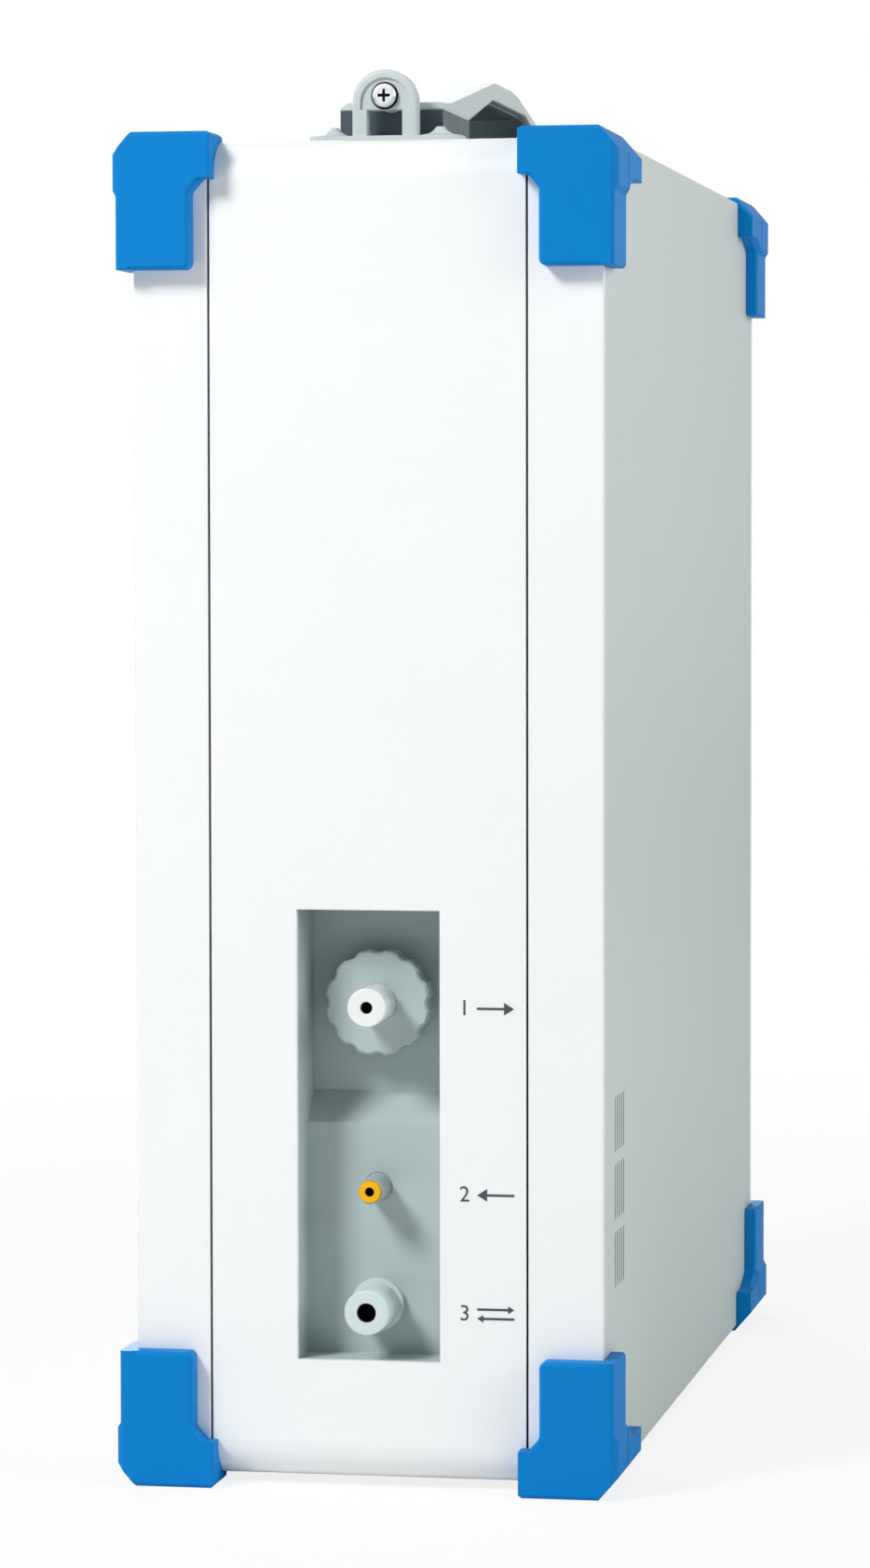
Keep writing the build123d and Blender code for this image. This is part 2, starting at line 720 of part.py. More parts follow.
def finger_arch(drop, low, inset=0.0):
    """Side outline of the finger opening: top lowered by drop, foot at low, ends pulled in by inset."""
    y0, y1 = grip_front + block_length + inset, 2 * handle_mid - grip_front - block_length - inset
    z0, z1 = case_top + low, case_top + crest_height - crest_thickness - drop
    crown = ((handle_mid - arch_crown, z1), (handle_mid + arch_crown, z1))
    arch = make_face(Polyline((y0, z0), *crown, (y1, z0), close=True))
    corners = arch.vertices().filter_by(lambda v: v.Z > z0 + 1 or v.Y > z0 + 1).sort_by(Axis.Y)[-2:]
    return fillet(corners, arch_bend)


def handle_grip():
    """Upper shell of the grip, arched over the finger opening, with bevelled shoulders."""
    y0, y1 = grip_front, 2 * handle_mid - grip_front
    crown, low = top_line(), case_top + block_height
    sides = [Line(crown @ 1, (y1, low)), Line((y1, low), (y0, low)), Line((y0, low), crown @ 0)]
    grip = across(make_face([*crown.edges(), *sides]), grip_width / 2)
    above = grip.edges().filter_by(lambda e: e.center().Z > low + shoulder)
    rim = above.filter_by(lambda e: abs(e.center().X) > grip_width / 2 - 0.1)
    ends = above.filter_by(lambda e: abs(e.center().Y - handle_mid) > grip_half - 0.1)
    grip = chamfer(rim + ends, shoulder) - across(finger_arch(0, block_height), grip_width / 2)
    z = case_top + pivot_height
    for y, sign in ((bracket_y, 1), (2 * handle_mid - bracket_y, -1)):
        boss = rod_y(grip_boss, y + sign * ear_thickness, y + sign * (screw_length + 4), 0, z)
        boss = chamfer(boss.edges().filter_by(GeomType.CIRCLE), 0.6)
        grip += boss - block((-grip_boss, grip_boss), (y0, y1), (case_top, low))
        grip -= rod_y(screw_shank_radius + running, y, y + sign * (ear_pocket + screw_length + 0.5), 0, z)
    return grip


def handle_liner():
    """Dark underside of the grip: a block over each bracket's foot and a ribbed lining between."""
    y0, y1 = grip_front, 2 * handle_mid - grip_front
    low, high = case_top + block_clear, case_top + crest_height
    half = grip_width / 2
    length = block_length + liner_foot
    blocks = block((-half, half), (y0, y0 + length), (low, case_top + block_height))
    blocks += block((-half, half), (y1 - length, y1), (low, case_top + block_height))
    lining = finger_arch(0, block_height) - finger_arch(liner_wall, block_height - liner_wall, liner_foot)
    lining = across(lining, half - liner_inset)
    roof = case_top + crest_height - crest_thickness - liner_wall
    ribs = []
    for i in range(liner_ribs):
        y = handle_mid + (i - (liner_ribs - 1) / 2) * rib_pitch
        reach = half - liner_inset - rib_width
        ys, zs = (y - rib_width / 2, y + rib_width / 2), (roof - rib_height, roof + liner_wall / 2)
        ribs.append(block((-reach, reach), ys, zs))
    return blocks + lining + ribs


# ---- rear fittings ----
def plate_hole(width, tall, y0, y1, z):
    return block((-width / 2, width / 2), (y0, y1), (z - tall / 2, z + tall / 2))


def power_inlet():
    """Three-pin appliance inlet with its flange on the rear panel."""
    z = inlet_z
    flange = Pos(0, rear_y, z) * extrude(
        Plane.XZ * RectangleRounded(inlet_flange_width, inlet_flange_tall, 4.0), amount=-inlet_flange
    )
    inlet = flange + plate_hole(inlet_width, inlet_tall, rear_y - inlet_body, rear_y, z)
    mouth = rear_y + inlet_flange
    floor = mouth - inlet_well
    inlet -= plate_hole(inlet_width - 2 * inlet_rim, inlet_tall - 2 * inlet_rim, floor, mouth, z)
    for x in (-inlet_screw_spread / 2, inlet_screw_spread / 2):
        inlet -= rod_y(rear_screw_radius + running, rear_y, mouth, x, z)
    for x, dz in prong_places():
        inlet -= Pos(x, floor - prong_root / 2, z + dz) * Box(prong_thick, prong_root, prong_width)
    return inlet


def prong_places():
    return ((-prong_spread, -prong_drop / 2), (0, prong_drop / 2), (prong_spread, -prong_drop / 2))


def inlet_prongs():
    foot = rear_y + inlet_flange - inlet_well - prong_root
    length = prong_root + prong_length
    prongs = []
    for x, dz in prong_places():
        prong = Pos(x, foot + length / 2, inlet_z + dz) * Box(prong_thick, length, prong_width)
        prongs.append(chamfer(prong.faces().sort_by(Axis.Y)[-1].edges(), 0.4))
    return prongs


def rear_screw_places():
    """Screws from outside: two hold the inlet's flange, four the fan."""
    reach, half = inlet_screw_spread / 2, fan_hole_spread / 2
    places = [(x, inlet_z, rear_y + inlet_flange) for x in (-reach, reach)]
    return places + [(x, exhaust_z + dz, rear_y) for x in (-half, half) for dz in (-half, half)]


def rear_screw_holes():
    radius = rear_screw_radius + running
    return [rod_y(radius, fan_outer - 1, rear_y, x, z) for x, z, y in rear_screw_places()]


def rear_screws():
    screws = []
    for x, z, y in rear_screw_places():
        head = Pos(x, y, z) * Rot(-90, 0, 0) * Cone(
            rear_screw_head, rear_screw_head - 1.2, 1.8, align=(Align.CENTER, Align.CENTER, Align.MIN)
        )
        screws.append(head + rod_y(rear_screw_radius, y - rear_screw_length, y, x, z))
    return screws


def power_switch():
    """Rocker switch's housing: bezel on the rear panel and a well for the rocker."""
    z = switch_z
    bezel = Pos(0, rear_y, z) * extrude(
        Plane.XZ * RectangleRounded(
            switch_width + 2 * switch_bezel_edge, switch_tall + 2 * switch_bezel_edge, 1.5
        ),
        amount=-switch_bezel,
    )
    housing = bezel + plate_hole(switch_width, switch_tall, rear_y - switch_body, rear_y, z)
    mouth = rear_y + switch_bezel
    well_width, well_tall = rocker_width + 2 * face_gap, rocker_tall + 2 * rocker_room
    well = plate_hole(well_width, well_tall, mouth - rocker_well, mouth, z)
    reach = rocker_pin_reach + face_gap
    pin = rod_x(rocker_pin + running, -reach, reach, rear_y, z)
    return housing - well - pin


def switch_rocker():
    """Rocker, resting in its off position."""
    z = switch_z
    outline = make_face(
        Polyline(
            (rocker_proud, -rocker_tall / 2), (rocker_proud - 1.2, 0), (rocker_proud, rocker_tall / 2),
            (0, rocker_tall / 2), (-rocker_thickness, rocker_tall / 4),
            (-rocker_thickness, -rocker_tall / 4), (0, -rocker_tall / 2), close=True,
        )
    )
    body = across(outline, rocker_width / 2)
    body += rod_x(rocker_pin, -rocker_pin_reach, rocker_pin_reach, 0, 0)
    return Pos(0, rear_y, z) * Rot(-rocker_throw, 0, 0) * body


# ---- inner chassis and oven ----
def chassis_plate():
    """Upright plate between the oven side and the electronics side, with a foot along the base."""
    ys = (-plate_half_depth, plate_half_depth)
    plate = block((plate_back, plate_x), ys, (base_top, plate_top))
    plate += block((plate_x, plate_x + foot_width), ys, (base_top, base_top + plate_sheet))
    plate -= rod_x(shaft_radius + 2, plate_back, plate_x, oven_mid_y, oven_mid_z)
    for dy in (-heater_leg, heater_leg):
        leg = rod_x(heater_lead + seam, plate_back, plate_x, oven_mid_y + dy, oven_mid_z - heater_radius)
        plate -= leg
    for y, z in board_hole_places():
        plate -= rod_x(board_screw_radius + seam, plate_back, plate_x, y, z)
    return plate


def oven_body():
    """Insulated box open on its right side, with the posts that carry the column."""
    ys, zs = (oven_front, oven_rear), (oven_low, oven_low + oven_tall)
    box = block((plate_x, oven_face), ys, zs)
    box = fillet(box.edges().filter_by(Axis.X), oven_corner)
    box -= block(
        (oven_floor, oven_face), [y + d for y, d in zip(ys, (oven_wall, -oven_wall))],
        [z + d for z, d in zip(zs, (oven_wall, -oven_wall))],
    )
    box -= rod_x(shaft_radius + 0.5, plate_x, oven_floor, oven_mid_y, oven_mid_z)
    for dy in (-heater_leg, heater_leg):
        box -= rod_x(heater_lead + seam, plate_x, oven_floor, oven_mid_y + dy, oven_mid_z - heater_radius)
    box -= rod_y(line_radius + seam, oven_front, oven_front + oven_wall, valve_x, coil_top)
    box -= rod_z(line_radius + seam, zs[1] - oven_wall, zs[1], coil_x + coil_half, oven_mid_y + coil_radius)
    for y, z in post_places():
        box += rod_x(post_radius, oven_floor, coil_x + coil_width / 2 + 2, y, z)
    return box


def post_places():
    reach = coil_radius - tube_radius - post_radius - seam
    angles = [radians(30 + 360 * i / post_count) for i in range(post_count)]
    return [(oven_mid_y + reach * cos(a), oven_mid_z - reach * sin(a)) for a in angles]


def oven_cover():
    ys, zs = (oven_front, oven_rear), (oven_low, oven_low + oven_tall)
    lid = block((oven_face, oven_face + oven_cover_thickness), ys, zs)
    lid = fillet(lid.edges().filter_by(Axis.X), oven_corner)
    inset = oven_wall + oven_plug_gap
    return lid + block(
        (oven_face - oven_plug, oven_face), (ys[0] + inset, ys[1] - inset), (zs[0] + inset, zs[1] - inset)
    )


def column_coil():
    """Packed column: a few close turns, one end leaving forwards to the valve, one up to the detector."""
    lobe = RegularPolygon(tube_radius, tube_sides)
    turns = lobe + [Pos(i * coil_step, 0) * lobe for i in range(1, coil_turns)]
    start = Plane(origin=(coil_x, oven_mid_y, coil_top), x_dir=(1, 0, 0), z_dir=(0, -1, 0))
    axis = Axis((coil_x, oven_mid_y, oven_mid_z), (1, 0, 0))
    coil = revolve(start * Pos(-coil_half, 0) * turns, axis=axis, revolution_arc=360)
    coil += rod_y(line_radius, oven_front - column_tail, oven_mid_y, valve_x, coil_top)
    top = oven_low + oven_tall
    return coil + rod_z(line_radius, oven_mid_z, top, coil_x + coil_half, oven_mid_y + coil_radius)


def oven_heater():
    """Open ring heating element, its two straight legs out through the oven's back wall."""
    x = oven_floor + heater_stand
    half_gap = degrees(asin(heater_leg / heater_ring))
    start = Plane(origin=(x, oven_mid_y, oven_mid_z - heater_ring), x_dir=(1, 0, 0), z_dir=(0, 1, 0))
    wire = start * RegularPolygon(heater_wire, tube_sides)
    axis = Axis((x, oven_mid_y, oven_mid_z), (1, 0, 0))
    heater = revolve(wire.rotate(axis, half_gap), axis=axis, revolution_arc=360 - 2 * half_gap)
    z = oven_mid_z - heater_radius
    for dy in (-heater_leg, heater_leg):
        heater += Pos(x, oven_mid_y + dy, z) * Sphere(heater_bead)
        heater += rod_x(heater_lead, plate_back - 6, x, oven_mid_y + dy, z)
    return heater


def oven_impeller():
    """Stirring fan in the oven, on a shaft from the motor outside."""
    x0 = oven_floor + impeller_gap
    hub = rod_x(hub_radius, x0, x0 + impeller_width, oven_mid_y, oven_mid_z)
    plate = rod_x(impeller_radius, x0, x0 + blade_thickness, oven_mid_y, oven_mid_z)
    wheel = hub + plate
    for i in range(impeller_blades):
        half = blade_thickness / 2
        blade = block((x0, x0 + impeller_width), (-half, half), (hub_radius - 1, impeller_radius))
        wheel += Pos(0, oven_mid_y, oven_mid_z) * Rot(360 * i / impeller_blades, 0, 0) * blade
    return wheel + rod_x(shaft_radius, plate_back - shaft_reach, x0, oven_mid_y, oven_mid_z)


def oven_motor():
    can = rod_x(motor_radius, plate_back - motor_length, plate_back, oven_mid_y, oven_mid_z)
    can = chamfer(can.faces().sort_by(Axis.X)[0].edges(), 2)
    depth = shaft_reach + face_gap
    return can - rod_x(shaft_radius + running, plate_back - depth, plate_back, oven_mid_y, oven_mid_z)


# ---- sampling valve and detector ----
def valve_body():
    """Six-port rotary sampling valve on posts from the oven's front wall."""
    front, rear = valve_front, valve_rear
    body = rod_y(valve_radius, front, rear, valve_x, valve_z)
    half = valve_flange_side / 2
    body += block(
        (valve_x - half, valve_x + half), (rear - valve_flange, rear), (valve_z - half, valve_z + half)
    )
    spread = half - 5
    for dx in (-spread, spread):
        for dz in (-spread, spread):
            body += rod_y(valve_post_radius, rear, oven_front, valve_x + dx, valve_z + dz)
    for i in range(valve_nipples):
        x, z, dx, dz = nipple(i)
        length = nipple_length + nipple_root
        root = Plane(origin=(x - dx * length, valve_mid_y, z - dz * length), z_dir=(dx, 0, dz))
        body += root * Cylinder(nipple_radius, length, align=(Align.CENTER, Align.CENTER, Align.MIN))
    return body - rod_y(rotor_radius + running, front, front + rotor_depth + face_gap, valve_x, valve_z)


def nipple(i):
    """Tip of one of the valve's nipples and its direction, in the plane across the valve."""
    angle = 2 * pi * (i + 0.5) / valve_nipples
    reach = valve_radius + nipple_length
    return valve_x + reach * cos(angle), valve_z + reach * sin(angle), cos(angle), sin(angle)


def valve_rotor():
    front = valve_front
    disc = rod_y(rotor_disc, rotor_front, front - face_gap, valve_x, valve_z)
    disc += rod_y(rotor_radius, front - face_gap, front + rotor_depth, valve_x, valve_z)
    drive = rod_y(drive_radius, rotor_front - drive_reach, front, valve_x, valve_z)
    half = rotor_key_width / 2
    key = block(
        (valve_x - half, valve_x + half), (rotor_front, front - face_gap),
        (valve_z + rotor_disc - half, valve_z + rotor_disc + rotor_key),
    )
    return disc + drive + key


def valve_actuator():
    """Rotary drive that turns the valve's rotor."""
    face = drive_face
    half = actuator_side / 2
    body = block(
        (valve_x - half, valve_x + half), (face - actuator_length, face), (valve_z - half, valve_z + half)
    )
    body = chamfer(body.edges().filter_by(Axis.Y), 4)
    return body - rod_y(drive_radius + running, face - drive_reach - face_gap, face, valve_x, valve_z)


def valve_bracket():
    """Angle bracket from the chassis plate to the drive's front face."""
    face = drive_face - actuator_length
    half = actuator_side / 2
    front, zs = face - bracket_sheet, (valve_z - half, valve_z + half)
    leg = block((plate_x, plate_x + bracket_sheet), (front, face + bracket_foot), zs)
    return leg + block((plate_x, valve_x + half), (front, face), zs)


def detector_block():
    """Thermal conductivity detector on the oven's roof, over the column's end."""
    x, y = coil_x + coil_half, oven_mid_y + coil_radius
    z0 = oven_low + oven_tall
    xs = (x - detector_width / 2, x + detector_width / 2)
    ys = (y + detector_tail - detector_length, y + detector_tail)
    body = block(xs, ys, (z0, z0 + detector_tall))
    cap_x, cap_y = ((a + detector_rim, b - detector_rim) for a, b in (xs, ys))
    cap = block(cap_x, cap_y, (z0 + detector_tall, z0 + detector_tall + detector_cap))
    return chamfer(body.edges().filter_by(Axis.Z), 3) + cap


# ---- carrier gas ----
def gas_bottle():
    rear = bottle_front + bottle_length
    body = rod_y(bottle_radius, bottle_front, rear, bottle_x, bottle_z)
    body = fillet(body.edges().filter_by(GeomType.CIRCLE), bottle_shoulder)
    neck = rod_y(bottle_neck_radius, bottle_front - bottle_neck, bottle_front + 2, bottle_x, bottle_z)
    return body + neck


def gas_regulator():
    """Pressure regulator on the bottle's neck, with its bonnet on top."""
    rear = bottle_front - bottle_neck
    half = regulator_side / 2
    xs, zs = (bottle_x - half, bottle_x + half), (bottle_z - half, bottle_z + half)
    body = chamfer(block(xs, (rear - regulator_length, rear), zs).edges().filter_by(Axis.Y), 3)
    y = rear - regulator_length / 2
    return body + rod_z(bonnet_radius, bottle_z + half, bottle_z + half + bonnet_height, bottle_x, y)


def saddles_and_straps():
    """Cradles under the bottle and the straps over it."""
    pieces = []
    seat = bottle_radius + seam
    split = base_top + saddle_height
    xs = (bottle_x - saddle_half, bottle_x + saddle_half)
    for set_back in saddle_set_backs:
        y = bottle_front + set_back
        ys = (y - saddle_length / 2, y + saddle_length / 2)
        saddle = block(xs, ys, (base_top + plate_sheet, split))
        pieces.append(saddle - rod_y(seat, ys[0], ys[1], bottle_x, bottle_z))
        band = rod_y(seat + strap_wall, ys[0], ys[1], bottle_x, bottle_z)
        over = block(xs, ys, (split, bottle_z + 2 * bottle_radius))
        ears = block(xs, ys, (split, split + strap_wall))
        pieces.append((band & over) + ears - rod_y(seat, ys[0], ys[1], bottle_x, bottle_z))
    return pieces


def sample_pump():
    """Small diaphragm pump on the chassis plate, its head towards the ports."""
    front = pump_rear - pump_length
    xs, zs = (plate_x, plate_x + pump_width), (pump_low, pump_low + pump_tall)
    body = block(xs, (front, pump_rear), zs)
    head = rod_y(pump_head_radius, front - pump_head_length, front, pump_axis_x, pump_z)
    return chamfer(body.edges().filter_by(Axis.Y), 2) + head


# ---- electronics ----
def board_hole_places():
    middle = (board_front + board_rear) / 2
    return [
        (y, z) for y in (board_front + board_margin, middle, board_rear - board_margin)
        for z in (board_low + board_margin, board_high - board_margin)
    ]


def main_board():
    board = block((board_face, board_back), (board_front, board_rear), (board_low, board_high))
    for y, z in board_hole_places():
        board -= rod_x(board_screw_radius + seam, board_face, board_back, y, z)
    return board


def board_parts():
    """Processor, memory, converter, relays and a plug on the board's outer face."""
    parts = []
    for along, up, width, tall, height in board_outlines:
        y = board_front + along * (board_rear - board_front)
        z = board_low + up * board_tall
        ys, zs = (y - width / 2, y + width / 2), (z - tall / 2, z + tall / 2)
        parts.append(block((board_face - height, board_face), ys, zs))
    return parts


def board_standoffs():
    """Pillars with screws through the plate and the board."""
    pillars = []
    for y, z in board_hole_places():
        pillar = rod_x(standoff_radius, board_back, plate_back, y, z)
        pillar += rod_x(board_screw_radius, board_face, plate_x - seam, y, z)
        pillars.append(pillar + rod_x(board_nut_radius, board_face - board_nut, board_face, y, z))
    return pillars


def power_supply():
    xs = (plate_back - supply_deep, plate_back)
    box = block(xs, (supply_front, supply_front + supply_length), (supply_low, supply_low + supply_tall))
    box = chamfer(box.edges().filter_by(Axis.Y), 2)
    slot_z = (supply_low + supply_margin, supply_low + supply_tall - supply_margin)
    for i in range(supply_slots):
        y = supply_front + 1.5 * supply_margin + i * supply_slot_pitch
        box -= block((xs[0], xs[0] + supply_slot_deep), (y - 2, y + 2), slot_z)
    return box


# ---- exhaust fan ----
def fan_frame():
    """Square fan housing against the rear frame, hub on four spokes at its inner face."""
    outer, inner, z = fan_outer, fan_inner, exhaust_z
    half = fan_side / 2
    shell = block((-half, half), (inner, outer), (z - half, z + half))
    shell = fillet(shell.edges().filter_by(Axis.Y), 4)
    shell -= rod_y(fan_duct, inner, outer, 0, z)
    spoke = 3.0
    for turn in (45, 135):
        bar = Pos(0, inner + 1.5, z) * Rot(0, turn, 0) * Box(2 * fan_duct + 4, 3.0, spoke)
        shell += bar
    shell += rod_y(fan_hub, inner, inner + fan_hub_plate, 0, z)
    shell += rod_y(fan_boss, inner, inner + fan_boss_length, 0, z)
    shell -= rod_y(fan_pin + running, inner + 1, inner + fan_boss_length, 0, z)
    for x in (-fan_hole_spread / 2, fan_hole_spread / 2):
        for dz in (-fan_hole_spread / 2, fan_hole_spread / 2):
            shell -= rod_y(rear_screw_radius + running, inner, outer, x, z + dz)
    return shell


def fan_rotor():
    inner, z = fan_inner, exhaust_z
    y0 = inner + fan_hub_plate + 2 * face_gap
    cup = rod_y(fan_hub - 1, y0, y0 + fan_rotor_length, 0, z)
    cup -= rod_y(fan_boss + face_gap, y0, y0 + fan_boss_length, 0, z)
    cup += rod_y(fan_pin, inner + 1 + face_gap, y0 + fan_rotor_length, 0, z)
    middle = y0 + fan_rotor_length / 2
    tip = fan_duct - fan_tip_gap
    length = tip - fan_hub + 3
    for i in range(fan_blades):
        blade = Rot(0, 0, blade_pitch) * Box(fan_blade_thickness, fan_rotor_length - 4, length)
        blade = Pos(0, 0, tip - length / 2) * blade
        cup += Pos(0, middle, z) * Rot(0, 360 * i / fan_blades, 0) * blade
    return cup


# ---- gas lines ----
def line(points, bends=None):
    """A tube through the points, bent at each one between its ends."""
    radii = bends if bends else line_bend
    path = FilletPolyline(*points, radius=radii)
    start = Plane(origin=path @ 0, z_dir=path % 0)
    return sweep(start * Circle(line_radius), path=path)


def beyond(i, reach):
    """A point further out along one of the valve's nipples."""
    x, z, dx, dz = nipple(i)
    return (x + reach * dx, valve_mid_y, z + reach * dz)


def sample_lines():
    """Inlet to valve, valve to pump, pump to outlet, and the loop between two of the valve's ports."""
    stem_out = deep_floor + stem_length
    stem_in = shallow_floor + stem_length
    pump_front = pump_rear - pump_length - pump_head_length / 2
    inlet = line([
        (0, stem_in, in_z), (0, valve_mid_y, in_z), (valve_x, valve_mid_y, in_z + 60), beyond(4, 0),
    ])
    suction = line([
        (pump_axis_x, pump_rear, pump_z), (pump_axis_x, pump_rear + 9, pump_z),
        (beyond(3, 15)[0], valve_mid_y, pump_z + 22), beyond(3, 15), beyond(3, 0),
    ], 7)
    outlet = line([
        (0, stem_out, out_z), (0, (stem_out + pump_front) / 2, out_z), (pump_axis_x, pump_front, out_z),
        (pump_axis_x, pump_front, pump_z - pump_head_radius),
    ], 7)
    loop_y, loop_z = valve_mid_y + 19, valve_z + 45
    reach = 14.0
    left, right = beyond(2, reach), beyond(0, reach)
    loop = line([
        beyond(2, 0), left, (left[0], loop_y, loop_z), (right[0], loop_y, loop_z), right, beyond(0, 0),
    ], 6)
    return [inlet, suction, outlet, loop]


def carrier_lines():
    """Gas port to regulator, regulator to valve, valve to column."""
    stem_gas = shallow_floor + stem_length
    regulator_front = bottle_front - bottle_neck - regulator_length
    turn_y, charge_z = regulator_front - 12, bottle_z + 6
    charge = line([
        (0, stem_gas, gas_z), (0, turn_y, gas_z), (bottle_x, turn_y, charge_z),
        (bottle_x, regulator_front, charge_z),
    ], 5)
    y = bottle_front - bottle_neck - regulator_length / 2
    top = bottle_z + regulator_side / 2 + 16
    feed = line([
        (bottle_x, y, top), (bottle_x, y, top + 90), (beyond(5, 15)[0], valve_mid_y, valve_z - 80),
        beyond(5, 15), beyond(5, 0),
    ], 8)
    corner_at, end = (valve_x, valve_mid_y, coil_top), (valve_x, oven_front - column_tail, coil_top)
    return [charge, feed, line([beyond(1, 0), corner_at, end])]


os.makedirs("parts", exist_ok=True)

save("front_frame", front_frame())
save("front_panel", front_panel())
save("rear_frame", rear_frame())
save("rear_panel", rear_panel())
save("side_panel_right", side_panel())
save("side_panel_left", mirror(side_panel(), about=Plane.YZ))
save("top_cover", cover(case_top - cover_sheet, case_top))
save("base_plate", cover(case_low, base_top))
screws = panel_screws()
save("panel_screws", *screws, *[mirror(s, about=Plane.YZ) for s in screws])

corner = guard()
for side, at_side in (("right", corner), ("left", mirror(corner, about=Plane.YZ))):
    under = mirror(at_side, about=Plane.XY.offset(case_mid))
    for level, at_level in (("top", at_side), ("bottom", under)):
        save(f"guard_front_{level}_{side}", at_level)
        save(f"guard_rear_{level}_{side}", turned(at_level))

save("port_recess", port_recess())
save("sample_out_tube", sample_out_tube())
save("sample_out_knob", sample_out_knob())
save("sample_in_body", sample_in_body())
save("sample_in_ring", sample_in_ring())
save("gas_cycle_tube", gas_cycle_tube())
save("port_nuts", *port_nuts())

facing = Plane.XZ.offset(-handle_mid)
bracket, caps, pivot = handle_bracket(), bracket_caps(), grip_screw()
save("handle_bracket_front", bracket)
save("handle_bracket_rear", mirror(bracket, about=facing))
save("bracket_caps", *caps, *[mirror(c, about=facing) for c in caps])
save("grip_screws", pivot, mirror(pivot, about=facing))
save("handle_grip", handle_grip())
save("handle_liner", handle_liner())

save("power_inlet", power_inlet())
save("inlet_prongs", *inlet_prongs())
save("rear_screws", *rear_screws())
save("power_switch", power_switch())
save("switch_rocker", switch_rocker())

save("chassis_plate", chassis_plate())
save("oven_body", oven_body())
save("oven_cover", oven_cover())
save("column_coil", column_coil())
save("oven_heater", oven_heater())
save("oven_impeller", oven_impeller())
save("oven_motor", oven_motor())
save("valve_body", valve_body())
save("valve_rotor", valve_rotor())
save("valve_actuator", valve_actuator())
save("valve_bracket", valve_bracket())
save("detector_block", detector_block())
save("gas_bottle", gas_bottle())
save("gas_regulator", gas_regulator())
save("bottle_clamps", *saddles_and_straps())
save("sample_pump", sample_pump())
save("main_board", main_board())
save("board_parts", *board_parts())
save("board_standoffs", *board_standoffs())
save("power_supply", power_supply())
save("fan_frame", fan_frame())
save("fan_rotor", fan_rotor())
save("sample_lines", *sample_lines())
save("carrier_lines", *carrier_lines())
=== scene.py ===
import json
import math
import bpy
import bmesh
from mathutils import Vector, Matrix


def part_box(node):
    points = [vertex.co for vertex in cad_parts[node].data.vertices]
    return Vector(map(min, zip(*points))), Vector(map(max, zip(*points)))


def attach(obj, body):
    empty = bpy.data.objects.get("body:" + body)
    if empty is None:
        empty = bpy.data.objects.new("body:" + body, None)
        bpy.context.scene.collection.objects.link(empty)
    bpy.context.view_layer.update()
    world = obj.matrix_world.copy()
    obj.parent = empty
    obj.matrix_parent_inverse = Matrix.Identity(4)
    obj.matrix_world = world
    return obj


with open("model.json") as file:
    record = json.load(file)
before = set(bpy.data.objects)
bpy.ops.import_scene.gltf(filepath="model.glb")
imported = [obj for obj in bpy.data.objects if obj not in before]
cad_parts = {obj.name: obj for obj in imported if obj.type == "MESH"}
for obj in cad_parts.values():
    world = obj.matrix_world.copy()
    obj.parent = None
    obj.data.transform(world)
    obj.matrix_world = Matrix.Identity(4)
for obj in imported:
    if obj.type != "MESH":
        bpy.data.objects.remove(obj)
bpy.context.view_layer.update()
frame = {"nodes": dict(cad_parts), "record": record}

nodes = frame["nodes"]
mm = 0.001

# a long lens, to the right of the port end and below the handle
camera = {
    "place": (0.3527, -2.0143, 0.3423),
    "turn": 10.367,  # degrees to the left
    "dip": 2.768,  # degrees down
    "roll": -0.08,
    "lens": 117.7,
}


def makeCamera():
    data = bpy.data.cameras.new("studioCamera")
    data.lens = camera["lens"]
    data.sensor_width = 36
    data.clip_start, data.clip_end = 0.05, 40
    obj = bpy.data.objects.new("studioCamera", data)
    obj.location = camera["place"]
    turn = Matrix.Rotation(math.radians(camera["turn"]), 4, "Z")
    tilt = Matrix.Rotation(math.radians(90 - camera["dip"]), 4, "X")
    roll = Matrix.Rotation(math.radians(camera["roll"]), 4, "Z")
    obj.rotation_euler = (turn @ tilt @ roll).to_euler()
    bpy.context.scene.collection.objects.link(obj)
    bpy.context.scene.camera = obj


makeCamera()
print("camera ready")


# shader sums are written as plain expressions on these
class Signal:
    def __init__(self, recipe, socket):
        self.recipe = recipe
        self.socket = socket

    def combine(self, operation, first, second):
        return self.recipe.add("ShaderNodeMath", {"operation": operation}, {0: first, 1: second})

    def __add__(self, other):
        return self.combine("ADD", self, other)

    def __sub__(self, other):
        return self.combine("SUBTRACT", self, other)

    def __rsub__(self, other):
        return self.combine("SUBTRACT", other, self)

    def __mul__(self, other):
        return self.combine("MULTIPLY", self, other)

    __radd__ = __add__
    __rmul__ = __mul__


